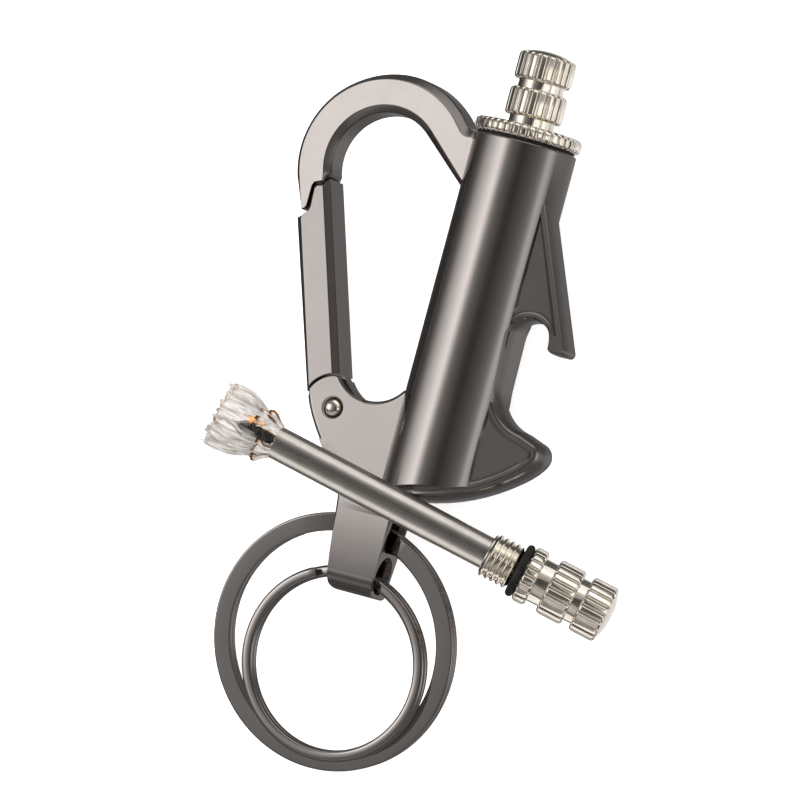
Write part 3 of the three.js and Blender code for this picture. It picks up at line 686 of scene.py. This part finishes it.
def neat_wick(name, matrix):
    """Round plaited cord: low ridges crossing on two opposite helices."""
    def plait(y, drop):
        def radius(angles):
            ridge = np.abs(np.sin(4 * angles + y * 2.6)) * np.abs(np.sin(4 * angles - y * 2.6))
            return 1.38 + 0.12 * ridge - drop
        return radius

    rows = [(-41, 0.85)]
    for i in range(97):
        rows.append((-41 - 12.2 * i / 96, plait(-41 - 12.2 * i / 96, max(0, (i - 90) / 6) ** 2 * 0.35)))
    rows.append((-53.2, 0.85))
    return smooth(lathe(name, rows, 96, matrix, close=True), 50)


# ---------- split rings ----------


def split_ring(name, size, start, step, hand, top, tilt):
    """Nearly two turns of wire: the coil starts at start degrees, runs the way of hand, and
    steps forward over the last step degrees of its first turn."""
    outer, width, coil, pitch = (size[k] for k in ("outer", "width", "coil", "pitch"))
    r = size["round"]
    section = []
    for cx, cy, a0 in ((width - r, coil / 2 - r, 0), (r, coil / 2 - r, 90),
                       (r, r - coil / 2, 180), (width - r, r - coil / 2, 270)):
        for k in range(6):
            a = rad(a0 + 18 * k)
            section.append((cx - width + r * cos(a), cy + r * sin(a)))
    section = np.array(section)
    total = 720 - step
    steps = int(total / 2.5)
    rings = []
    for i in range(steps + 1):
        along = total * i / steps
        end = min(along, total - along) / 360 * 2 * pi * outer
        shrink = 1.0 if end > 0.25 else 0.86 + 0.14 * sqrt(max(0.0, 1 - (1 - end / 0.25) ** 2))
        rise = (smoothstep(along, 360 - step, 360) - 0.5) * pitch
        a = rad(start + hand * along)
        radii = outer - width / 2 + (section[:, 0] + width / 2) * shrink
        z = rise + section[:, 1] * shrink
        rings.append(np.column_stack([radii * cos(a), radii * sin(a), z]))
    matrix = Matrix.Translation(top) @ Matrix.Rotation(tilt, 4, "X")
    matrix = matrix @ Matrix.Translation((0, width / 2 - outer, 0))
    made = smooth(loft(name, rings, matrix), 35)
    return made if r > 0.4 else crisp(made)


# ---------- frayed end of the loose match ----------


def strand(verts, faces, burns, points, across):
    """Adds one loose fibre, a thin closed ribbon along points that narrows towards its end."""
    base, n = len(verts), len(points)
    for i, p in enumerate(points):
        ahead = points[min(i + 1, n - 1)] - points[max(i - 1, 0)]
        ahead = ahead / (norm(ahead) + 1e-9)
        side = across - ahead * (across @ ahead)
        side = side / (norm(side) + 1e-9)
        up = np.cross(side, ahead)
        w, h = 0.05 * (1 - 0.6 * (i / (n - 1))), 0.03
        for s, u in ((-1, -0.3), (-0.4, -1), (0.4, -1), (1, -0.3), (0.8, 0.5), (0, 1), (-0.8, 0.5)):
            verts.append(p + side * s * w + up * u * h)
            burns.append(0.2)
    faces += skin(7, n, base=base)


def apart(angle, front):
    """Signed angle from the core's side of the mouth."""
    return (angle - front + pi) % (2 * pi) - pi


def opening(t, wide_at):
    """How far a sheet has opened at t along it: a quick start, wide open from wide_at."""
    return 0.3 * smoothstep(t, 0, 0.14) + 0.7 * smoothstep(t, 0.06, wide_at)


def petal(verts, faces, burns, spread, start, length, flare, rnd, scorch, gap, front, rim_at=0.9):
    """One crinkled sheet of burnt fibre: it leaves the mouth at start and opens to flare."""
    angle, half = spread
    away = apart(angle, front)
    side = copysign(1, away)
    half = min(half, abs(away) - gap)
    if half < rad(8):
        return
    # beyond the core the parting closes again
    closing = gap * 1.5 * max(0.0, 1 - (abs(away) - half - gap) / 0.5)
    nu, nt = 18, 20
    phase = [rnd.uniform(0, 6.28) for _ in range(5)]
    grid = np.zeros((nt + 1, nu + 1, 3))
    outward = np.zeros((nt + 1, nu + 1, 3))
    burn = np.zeros((nt + 1, nu + 1))
    for j in range(nu + 1):
        u = 2 * j / nu - 1
        near = (1 - side * u) / 2
        uneven = 0.025 * sin(4 * u + phase[0])
        reach = length * (0.97 + uneven + 0.01 * sin(13 * u + phase[1]) - 0.05 * u ** 4)
        for i in range(nt + 1):
            t = i / nt
            a = angle + half * u - side * closing * near * smoothstep(t, 0.45, 0.8)
            a = a + 0.04 * sin(6 * t + phase[2]) * t
            out = np.array([cos(a), 0.0, sin(a)])
            r = start + (flare - start) * opening(t, 0.8)
            fold = (0.06 + 0.2 * t) * sin(7 * u + 2.5 * t + phase[3])
            r += fold + (0.04 + 0.04 * t) * sin(19 * u + phase[4])
            r *= 1 - 0.12 * max(0.0, cos(a - front)) * t
            grid[i, j] = out * r + np.array([0.0, -TUFT_ROOT - reach * t * (1 - 0.08 * t * t), 0.0])
            outward[i, j] = out
            rim = max(smoothstep(t, rim_at, 1.0), 0.9 * smoothstep(abs(u), rim_at - 0.05, 1.0))
            burn[i, j] = 0.1 + 0.14 * t * t + scorch * rim
    base = len(verts)
    count = (nt + 1) * (nu + 1)
    taper = np.minimum(1, (1 - np.abs(np.linspace(-1, 1, nu + 1))) * 5 + 0.25)
    fade = np.minimum(1, (1 - np.linspace(0, 1, nt + 1)) * 5 + 0.25)
    for face in (1, -1):
        sheet = grid + outward * (face * PETAL_THICK / 2 * taper[None, :, None] * fade[:, None, None])
        verts.extend(sheet.reshape(-1, 3))
        burns.extend(burn.reshape(-1))
    w = nu + 1
    for i in range(nt):
        for j in range(nu):
            a = base + i * w + j
            b = a + count
            faces += [(a, a + 1, a + w + 1, a + w), (b, b + w, b + w + 1, b + 1)]
    loop = list(range(w)) + [i * w + nu for i in range(1, nt + 1)]
    loop += [nt * w + j for j in range(nu - 1, -1, -1)] + [i * w for i in range(nt - 1, 0, -1)]
    for k, a in enumerate(loop):
        b = loop[(k + 1) % len(loop)]
        faces.append((base + b, base + a, base + count + a, base + count + b))


# layers of the tuft, outermost first: count, half width in degrees, radius at the mouth,
# length, radius when open, scorch of the rims, half the parting over the core
LAYERS = [
    (11, 30, 1.62, 9.2, 4.3, 0.16, TUFT_GAP),
    (10, 34, 1.4, 9.7, 3.75, 0.16, TUFT_GAP),
    (8, 40, 1.0, 9.8, 2.7, 0.12, rad(4)),
    (6, 50, 0.6, 9.8, 1.8, 0.12, rad(2)),
]


def tuft(name, matrix, facing):
    """Crinkled ash-white sheets and fibres flaring from the mouth, parted over the core."""
    rnd = random.Random(11)
    front = atan2(facing[2], facing[0])
    verts, faces, burns = [], [], []
    for count, half, start, length, flare, scorch, parting in LAYERS:
        for k in range(count):
            angle = front + 2 * pi * (k + 0.5) / count + rnd.uniform(-0.12, 0.12)
            size = length * rnd.uniform(0.93, 1.0)
            petal(verts, faces, burns, (angle, rad(half)), start, size, flare * rnd.uniform(0.94, 1.05),
                  rnd, scorch * rnd.uniform(0.6, 1.6), parting, front)
    # short leaves folded back round the mouth, their rims scorched brown
    first, span = front + TUFT_GAP + rad(12), 2 * pi - 2 * TUFT_GAP - rad(24)
    for k in range(10):
        angle = first + span * (k + 0.5) / 10 + rnd.uniform(-0.08, 0.08)
        petal(verts, faces, burns, (angle, rad(rnd.uniform(16, 25))), 1.8, rnd.uniform(2.0, 4.4),
              rnd.uniform(2.85, 3.35), rnd, 0.62, TUFT_GAP * 0.9, front, 0.7)
    # loose fibres lying over the sheets
    for k in range(150):
        angle = 2 * pi * (k + rnd.random()) / 150
        if abs(apart(angle, front)) < rad(34):
            continue
        out = np.array([cos(angle), 0.0, sin(angle)])
        tangent = np.array([-sin(angle), 0.0, cos(angle)])
        sway, wave, phase = rnd.uniform(-0.5, 0.5), rnd.uniform(0.03, 0.1), rnd.uniform(0, 6.28)
        length = rnd.uniform(6.5, 9.4)
        points = []
        for i in range(13):
            t = i / 12
            r = 1.72 + 2.55 * opening(t, 0.85) + wave * sin(8 * t + phase)
            r *= 1 - 0.12 * max(0.0, cos(angle - front)) * t
            down = np.array([0.0, -(TUFT_ROOT + length * t), 0.0])
            points.append(out * r + down + tangent * (sway * t * t))
        strand(verts, faces, burns, points, tangent)

    obj = new_mesh(name, verts, faces, matrix)
    attribute = obj.data.attributes.new("burn", "FLOAT", "POINT")
    attribute.data.foreach_set("value", np.array(burns, np.float32))
    # the front is pressed flat, so that it stays within the CAD box
    limit = cad_high.z + 0.15 * MM
    for v in obj.data.vertices:
        if v.co.z > limit:
            v.co.z = limit + (v.co.z - limit) * 0.3
    return smooth(fix_normals(obj), 70)


def charred_core(name, matrix, facing):
    """Two charred yarns twisted round each other, coming up through the gap in the fibres."""
    front = np.array([facing[0], 0.0, facing[2]])
    front /= norm(front)
    side = np.cross(front, [0.0, 1.0, 0.0])
    objs = []
    for phase in (0.0, pi):
        rings = []
        for i in range(46):
            t = i / 45
            y = -46.0 - 4.9 * t
            forward = 1.3 + 1.75 * smoothstep(t, 0.1, 0.7)
            centre = np.array([0.0, y, 0.0]) + front * forward + side * (0.5 * t * t)
            a = phase + 2 * pi * 1.9 * t
            centre = centre + (front * cos(a) + side * sin(a)) * 0.3
            size = 0.36 * (1 - 0.75 * smoothstep(t, 0.85, 1.0)) * (1 + 0.12 * sin(i * 1.9 + phase))
            ring = []
            for k in range(12):
                b = 2 * pi * k / 12
                lumpy = 1 + 0.1 * sin(4 * b + 5 * t)
                ring.append(centre + (front * cos(b) + side * sin(b)) * size * lumpy)
            rings.append(np.array(ring))
        objs.append(loft(f"yarn{phase:.0f}", rings, matrix))
    return smooth(join_objects(name, objs), 60)


def embers(name, matrix, facing):
    """Small glowing flakes lodged in the fibres beside the core."""
    front = atan2(facing[2], facing[0])
    objs = []
    for k, (turn, y, r, size) in enumerate(((19, -50.9, 3.2, 0.5), (24, -49.5, 2.95, 0.3))):
        a = front + rad(turn)
        bm = bmesh.new()
        bmesh.ops.create_icosphere(bm, subdivisions=3, radius=1.0)
        for v in bm.verts:
            v.co += v.co * 0.35 * noise.noise(v.co * 1.7 + Vector((k * 3.1, 0, 0)))
            v.co = Vector((v.co.x * size, v.co.y * size * 1.5, v.co.z * size * 0.5))
        spot = Matrix.Translation((r * cos(a), y, r * sin(a)))
        bm.transform(spot @ Matrix.Rotation(-a + pi / 2, 4, "Y"))
        bm.verts.index_update()
        faces = [[v.index for v in f.verts] for f in bm.faces]
        objs.append(new_mesh(f"ember{k}", [v.co for v in bm.verts], faces, matrix))
        bm.free()
    return smooth(join_objects(name, objs), None)


# ---------- materials ----------


def add_node(tree, kind, inputs=None, **values):
    n = tree.nodes.new("ShaderNode" + kind)
    for key, value in values.items():
        setattr(n, key, value)
    for key, value in (inputs or {}).items():
        n.inputs[key].default_value = value
    return n


def ramp(tree, fac, stops):
    n = add_node(tree, "ValToRGB")
    while len(n.color_ramp.elements) < len(stops):
        n.color_ramp.elements.new(0.5)
    for e, (at, colour) in zip(n.color_ramp.elements, stops):
        e.position = at
        e.color = (*colour, 1.0)
    tree.links.new(fac, n.inputs["Fac"])
    return n.outputs["Color"]


def map_range(tree, value, low, high, to_low=0.0, to_high=1.0, kind="LINEAR"):
    sizes = {"From Min": low, "From Max": high, "To Min": to_low, "To Max": to_high}
    n = add_node(tree, "MapRange", sizes, interpolation_type=kind)
    tree.links.new(value, n.inputs["Value"])
    return n.outputs["Result"]


class Mat:
    """A Principled material; its textures read the object's own coordinates, in metres."""

    def __init__(self, name, metallic, roughness, more=None):
        self.mat = bpy.data.materials.new(name)
        self.mat.use_nodes = True
        self.tree = self.mat.node_tree
        self.bsdf = next(n for n in self.tree.nodes if n.type == "BSDF_PRINCIPLED")
        for key, value in {"Metallic": metallic, "Roughness": roughness, **(more or {})}.items():
            self.bsdf.inputs[key].default_value = value
        self.coords = add_node(self.tree, "TexCoord").outputs["Object"]

    def link(self, a, b):
        self.tree.links.new(a, b)

    def noise(self, scale, detail, vector=None):
        n = add_node(self.tree, "TexNoise", {"Scale": scale, "Detail": detail, "Roughness": 0.55})
        self.link(vector or self.coords, n.inputs["Vector"])
        return n.outputs["Fac"]

    def ramp(self, fac, stops):
        return ramp(self.tree, fac, stops)

    def colour(self, output):
        self.link(output, self.bsdf.inputs["Base Color"])

    def clouds(self, scale, detail, *stops):
        self.colour(self.ramp(self.noise(scale, detail), stops))

    def rough(self, fac, low, high):
        self.link(map_range(self.tree, fac, 0.3, 0.7, low, high), self.bsdf.inputs["Roughness"])

    def bump(self, fac, strength, distance, soft=0.0):
        n = add_node(self.tree, "Bump", {"Strength": strength, "Distance": distance})
        self.link(fac, n.inputs["Height"])
        if soft:
            b = add_node(self.tree, "Bevel", {"Radius": soft}, samples=4)
            self.link(b.outputs["Normal"], n.inputs["Normal"])
        self.link(n.outputs["Normal"], self.bsdf.inputs["Normal"])

    def along(self, axis, squeeze):
        """Coordinates squeezed along an axis, for grain drawn out that way."""
        axis = Vector(axis).normalized()
        a = axis.orthogonal().normalized()
        combine = add_node(self.tree, "CombineXYZ")
        for k, v in enumerate((a, axis.cross(a), axis * squeeze)):
            d = add_node(self.tree, "VectorMath", {1: tuple(v)}, operation="DOT_PRODUCT")
            self.link(self.coords, d.inputs[0])
            self.link(d.outputs["Value"], combine.inputs[k])
        return combine.outputs["Vector"]


def gunmetal(name, shade, low, high):
    """Smooth satin gunmetal plating, faintly clouded."""
    m = Mat(name, 1.0, 0.16)
    tones = [tuple(c * k * shade for c in (0.46, 0.42, 0.397)) for k in (0.96, 1.03)]
    m.clouds(70, 3, (0.3, tones[0]), (0.7, tones[1]))
    m.rough(m.noise(420, 4), low, high)
    m.bump(m.noise(6000, 2), 0.03, 0.00002, 0.00008)
    return m.mat


def nickel(name):
    """Bright, slightly warm nickel plating."""
    m = Mat(name, 1.0, 0.14)
    m.clouds(700, 5, (0.3, (0.79, 0.712, 0.612)), (0.7, (0.925, 0.865, 0.777)))
    m.rough(m.noise(2600, 4), 0.09, 0.17)
    m.bump(m.noise(5200, 4), 0.03, 0.00002)
    return m.mat


def drawn_steel(name, axis):
    """Dull steel with fine grain along its axis."""
    m = Mat(name, 1.0, 0.24)
    grain = m.noise(7000, 4, m.along(axis, 0.02))
    m.clouds(500, 5, (0.3, (0.575, 0.535, 0.485)), (0.7, (0.66, 0.62, 0.565)))
    m.rough(grain, 0.24, 0.34)
    m.bump(m.noise(3600, 4), 0.1, 0.00003)
    return m.mat


def rubber(name):
    m = Mat(name, 0.0, 0.5, {"Specular IOR Level": 0.3})
    m.clouds(900, 4, (0.3, (0.008, 0.007, 0.007)), (0.7, (0.02, 0.018, 0.017)))
    m.rough(m.noise(3000, 4), 0.4, 0.6)
    m.bump(m.noise(9000, 3), 0.15, 0.00003)
    return m.mat


def ferro(name):
    """Dark flint rod, scraped across."""
    m = Mat(name, 0.8, 0.5)
    scrape = m.noise(5200, 5, m.along((1, 0.12, 0), 0.06))
    m.colour(m.ramp(scrape, [(0.3, (0.035, 0.032, 0.031)), (0.62, (0.09, 0.085, 0.082)),
                             (0.8, (0.32, 0.31, 0.3))]))
    m.rough(scrape, 0.34, 0.62)
    m.bump(scrape, 0.5, 0.00005)
    return m.mat


def fibre(name, light, shade, scale):
    m = Mat(name, 0.0, 0.92)
    m.clouds(scale, 5, (0.3, shade), (0.65, light))
    m.bump(m.noise(scale * 6, 4), 0.5, 0.00006)
    return m.mat


def ash(name, axis):
    """Ash-white fibre, streaked along its length and scorched brown and black at the rims."""
    m = Mat(name, 0.0, 0.9)
    streak = m.noise(2600, 5, m.along(axis, 0.12))
    base = m.ramp(streak, [(0.28, (0.3, 0.27, 0.25)), (0.48, (0.52, 0.485, 0.455)),
                           (0.68, (0.76, 0.73, 0.695))])
    burn = add_node(m.tree, "Attribute", attribute_name="burn")
    burnt = add_node(m.tree, "Math", {1: 0.5}, operation="MULTIPLY_ADD")
    m.link(m.noise(900, 3), burnt.inputs[0])
    m.link(burn.outputs["Fac"], burnt.inputs[2])
    scorch = m.ramp(burnt.outputs["Value"], [(0.55, (1, 1, 1)), (0.75, (0.62, 0.36, 0.2)),
                                             (0.95, (0.16, 0.075, 0.035)), (1.0, (0.05, 0.03, 0.02))])
    mix = add_node(m.tree, "Mix", data_type="RGBA", blend_type="MULTIPLY")
    mix.inputs["Factor"].default_value = 1.0
    m.link(base, mix.inputs["A"])
    m.link(scorch, mix.inputs["B"])
    m.colour(mix.outputs["Result"])
    m.bump(streak, 0.6, 0.00008)
    return m.mat


def char(name):
    m = Mat(name, 0.0, 0.7)
    m.clouds(2400, 5, (0.35, (0.006, 0.005, 0.005)), (0.62, (0.03, 0.027, 0.024)),
             (0.8, (0.11, 0.1, 0.09)))
    m.bump(m.noise(5200, 5), 0.8, 0.0001)
    return m.mat


def ember(name):
    m = Mat(name, 0.0, 0.8, {"Emission Strength": 0.35})
    glow = m.noise(1500, 4)
    m.colour(m.ramp(glow, [(0.3, (0.3, 0.1, 0.03)), (0.6, (0.85, 0.42, 0.16))]))
    fire = m.ramp(glow, [(0.45, (0.05, 0.008, 0.0)), (0.75, (1.0, 0.36, 0.07))])
    m.link(fire, m.bsdf.inputs["Emission Color"])
    return m.mat


# ---------- the pieces, each on its body ----------

towards = Vector((
    cos(LOOSE_SLOPE) * cos(LOOSE_HEADING),
    cos(LOOSE_SLOPE) * sin(LOOSE_HEADING),
    sin(LOOSE_SLOPE),
))  # from the loose match's head to its tuft
stowed = Matrix.Translation((0, STOWED_TOP, 0))
turn = Vector((0, -1, 0)).rotation_difference(towards).to_matrix()
loose = Matrix.Translation(LOOSE_END) @ turn.to_4x4()
# the camera's direction as the loose match sees it: there the tuft is parted over its core
open_side = np.array(turn.transposed() @ VIEW_FROM)

body_metal = gunmetal("gunmetal", 1.0, 0.13, 0.18)
ring_metal = gunmetal("ring_steel", 1.22, 0.06, 0.11)
head_metal = nickel("nickel")
match_steel = drawn_steel("match_steel", towards)
stowed_steel = drawn_steel("stowed_steel", (0, 1, 0))
black_rubber = rubber("rubber")
white_cotton = fibre("cotton", (0.8, 0.78, 0.74), (0.6, 0.57, 0.52), 900)

place(body_casting(), "casting", body_metal, "gunmetal", "body_casting")
place(gate_bar(), "gate", body_metal, "gunmetal", "gate")
place(rivet(), "casting", head_metal, "steel", "gate_rivet")
place(collar(), "casting", head_metal, "nickel", "tank_collar")

place(match_head("stowed_head", stowed), "stowed_match", head_metal, "nickel", "stowed_match_head")
place(ring_seal("stowed_seal_ring", stowed), "stowed_seal", black_rubber, "rubber", "stowed_match_o_ring")
place(sleeve("stowed_sleeve", stowed), "stowed_match", stowed_steel, "steel", "stowed_match_sleeve")
place(neat_wick("stowed_wick", stowed), "stowed_match", white_cotton, "wick", "stowed_match_wick")

place(match_head("loose_head", loose), "loose_match", head_metal, "nickel", "loose_match_head")
place(ring_seal("loose_seal_ring", loose), "loose_match", black_rubber, "rubber", "loose_match_o_ring")
place(sleeve("loose_sleeve", loose), "loose_match", match_steel, "steel", "loose_match_sleeve")
frayed = tuft("frayed_fibres", loose, open_side)
place(frayed, "loose_match", ash("ash", towards), "charred_fibre", "loose_match_wick")
place(charred_core("charred_core", loose, open_side), "loose_match", char("char"), "charred_fibre")
place(embers("embers", loose, open_side), "loose_match", ember("ember"), "charred_fibre")

# the plating of the body doesn't mirror these
for name in ("loose_sleeve", "frayed_fibres", "charred_core", "embers"):
    bpy.data.objects[name].visible_glossy = False

large = split_ring("large_ring", LARGE, 118, 50, 1, LARGE_TOP, LARGE_TILT)
place(large, "large_ring", ring_metal, "ring_steel", "large_split_ring")
small = split_ring("small_ring", SMALL, 84, 30, -1, SMALL_TOP, SMALL_TILT)
place(small, "small_ring", ring_metal, "ring_steel", "small_split_ring")

# CAD nodes that keep their shape
kept = {
    "flint_strip": ferro("ferro"),
    "gate_spring": drawn_steel("spring_steel", (0, 0, 1)),
    "collar_gasket": black_rubber,
    "fuel_wadding": white_cotton,
    "stowed_match_striker": stowed_steel,
    "loose_match_striker": match_steel,
}
for node, material in kept.items():
    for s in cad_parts[node].material_slots:
        s.material = material

# ---------- floor, studio and camera ----------

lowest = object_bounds()[0].z
bpy.ops.mesh.primitive_plane_add(size=6, location=(0, 0, lowest - 0.2 * MM))
floor = bpy.context.object
floor.name = "floor"
pale = Mat("floor", 0.0, 0.9, {"Emission Color": (1, 1, 1, 1), "Emission Strength": 0.7})
pale.clouds(2.0, 3.0, (0.3, (0.86, 0.86, 0.86)), (0.7, (0.88, 0.88, 0.88)))
floor.data.materials.append(pale.mat)
floor.visible_glossy = False
floor.visible_shadow = False

# how bright the studio is round the object's long axis: (degrees from +Z towards +X, light)
ROUND = [
    (-180, 0.3), (-150, 0.15), (-130, 0.05), (-115, 0.03), (-97, 0.06), (-85, 0.12), (-73, 0.29),
    (-61, 0.8), (-50, 1.2), (-41, 1.5), (-35, 1.68), (-30, 1.36), (-26, 0.84), (-21, 0.42),
    (-14, 0.24), (-8, 0.17), (-1.4, 0.13), (10.6, 0.062), (22.6, 0.05), (34.6, 0.09), (46.6, 0.13),
    (58.6, 0.2), (70.6, 0.34), (80, 0.8), (87, 0.75), (94.6, 0.42), (106, 0.28), (140, 0.25), (180, 0.3),
]
# and towards its two ends: (share of the way to the end, light)
ENDS = [(0.0, 0.1), (0.5, 0.12), (0.75, 0.1), (0.92, 0.09), (1.0, 0.12)]
# from how far towards the ends on the second table holds
ENDS_FROM, ENDS_FULL = 0.1, 0.46
PALE = (1.05, 1.05, 1.05, 1)


def studio():
    """Bands of light that only metal sees; the floor and the matt pieces see one pale light."""
    world = bpy.data.worlds.new("studio")
    bpy.context.scene.world = world
    world.use_nodes = True
    tree = world.node_tree
    tree.nodes.clear()
    link = tree.links.new

    def maths(operation, *values):
        n = add_node(tree, "Math", operation=operation)
        for socket, v in zip(n.inputs, values):
            if isinstance(v, (int, float)):
                socket.default_value = v
            else:
                link(v, socket)
        return n.outputs["Value"]

    def rise(value, low, high):
        return map_range(tree, value, low, high, kind="SMOOTHSTEP")

    def lookup(value, table, low, high):
        share = maths("DIVIDE", maths("SUBTRACT", value, float(low)), float(high - low))
        return ramp(tree, share, [((at - low) / (high - low), (light,) * 3) for at, light in table])

    split = add_node(tree, "SeparateXYZ")
    link(add_node(tree, "TexCoord").outputs["Generated"], split.inputs["Vector"])
    dx, dy, dz = (split.outputs[k] for k in "XYZ")
    turn = maths("MULTIPLY", maths("ARCTAN2", dx, dz), 180 / pi)
    end = maths("ABSOLUTE", dy)
    bands = add_node(tree, "Mix", data_type="RGBA")
    link(rise(end, ENDS_FROM, ENDS_FULL), bands.inputs["Factor"])
    link(lookup(turn, ROUND, -180, 180), bands.inputs["A"])
    link(lookup(end, ENDS, 0, 1), bands.inputs["B"])

    # two broad panels high above the ends, which light the metal in views from the sides
    above = rise(dz, 0.25, 0.6)
    far = maths("MULTIPLY", maths("MULTIPLY", rise(dy, 0.42, 0.75), above), 0.45)
    near = maths("MULTIPLY", maths("MULTIPLY", rise(maths("MULTIPLY", dy, -1.0), 0.5, 0.8), above), 0.15)
    total = maths("ADD", maths("ADD", far, near), bands.outputs["Result"])

    glossy = add_node(tree, "LightPath").outputs["Is Glossy Ray"]
    light = add_node(tree, "Mix", data_type="RGBA")
    light.inputs["A"].default_value = PALE
    link(total, light.inputs["B"])
    link(glossy, light.inputs["Factor"])
    background = add_node(tree, "Background")
    link(light.outputs["Result"], background.inputs["Color"])
    out = add_node(tree, "OutputWorld")
    link(background.outputs["Background"], out.inputs["Surface"])


def group(name, members):
    collection = bpy.data.collections.new(name)
    for member in members:
        collection.objects.link(bpy.data.objects[member])
    return collection


def area_light(name, shape, size, energy, at):
    """A lamp at a point, turned towards the origin."""
    data = bpy.data.lights.new(name, "AREA")
    data.shape = shape
    data.size, data.size_y = size
    data.energy = energy
    obj = add_object(name, data)
    obj.location = at
    obj.rotation_euler = (-at).to_track_quat("-Z", "Y").to_euler()
    return obj


studio()
steel = group("steel_pieces", ["stowed_sleeve", "loose_sleeve"])
plated = group("plated_pieces", ["rivet", "collar", "stowed_head", "loose_head"])

# panels of even light that only one group sees: direction, size, strength
SOFTBOX_DISTANCE = 0.8
for name, seen_by, direction, size, strength in [
    ("steel_side", steel, (0.985, 0.0, -0.17), (1.1, 1.0), 1.1),
    ("steel_upper", steel, (0.1, 0.85, 0.25), (1.3, 0.6), 1.0),
    ("steel_lower", steel, (0.1, -0.85, 0.12), (1.3, 0.6), 1.0),
    ("steel_under", steel, (0.15, -0.1, -1.0), (1.2, 1.2), 1.2),
    ("plated_side", plated, (0.985, 0.0, -0.17), (0.9, 0.8), 0.62),
    ("plated_front", plated, (0.743, 0.0, 0.669), (0.26, 0.5), 0.8),
    ("plated_upper", plated, (0.33, 0.875, 0.35), (1.4, 0.62), 0.95),
    ("plated_upper_dim", plated, (0.388, 0.44, 0.81), (1.3, 0.46), 0.3),
    ("plated_lower_dim", plated, (0.044, -0.76, 0.65), (1.3, 0.62), 0.27),
    ("plated_lower", plated, (-0.32, -0.896, -0.305), (1.4, 0.75), 0.95),
    ("plated_under", plated, (0.15, 0.1, -1.0), (1.2, 1.0), 0.55),
]:
    energy = strength * pi * size[0] * size[1]
    box = area_light(name, "RECTANGLE", size, energy, Vector(direction).normalized() * SOFTBOX_DISTANCE)
    box.light_linking.receiver_collection = seen_by
    box.visible_camera = False

key = area_light("key", "DISK", (0.6, 0.6), 6, Vector((-0.35, 0.45, 0.8)))
key.visible_glossy = False

CAMERA_AT, CAMERA_RIGHT, LENS = (394.1795, -22.9116, 1023.4991), (0.90199, 0.25870, -0.34567), 391.05
back = VIEW_FROM.normalized()
right = Vector(CAMERA_RIGHT)
right = (right - back * right.dot(back)).normalized()
camera_data = bpy.data.cameras.new("camera")
camera_data.lens, camera_data.sensor_width = LENS, 36
camera_data.clip_start, camera_data.clip_end = 0.1, 20
camera = add_object("camera", camera_data)
facing = Matrix((right, back.cross(right), back)).transposed().to_4x4()
camera.matrix_world = Matrix.Translation(np.array(CAMERA_AT) * MM + ORIGIN) @ facing
bpy.context.scene.camera = camera
bpy.context.scene.view_settings.view_transform = "Standard"
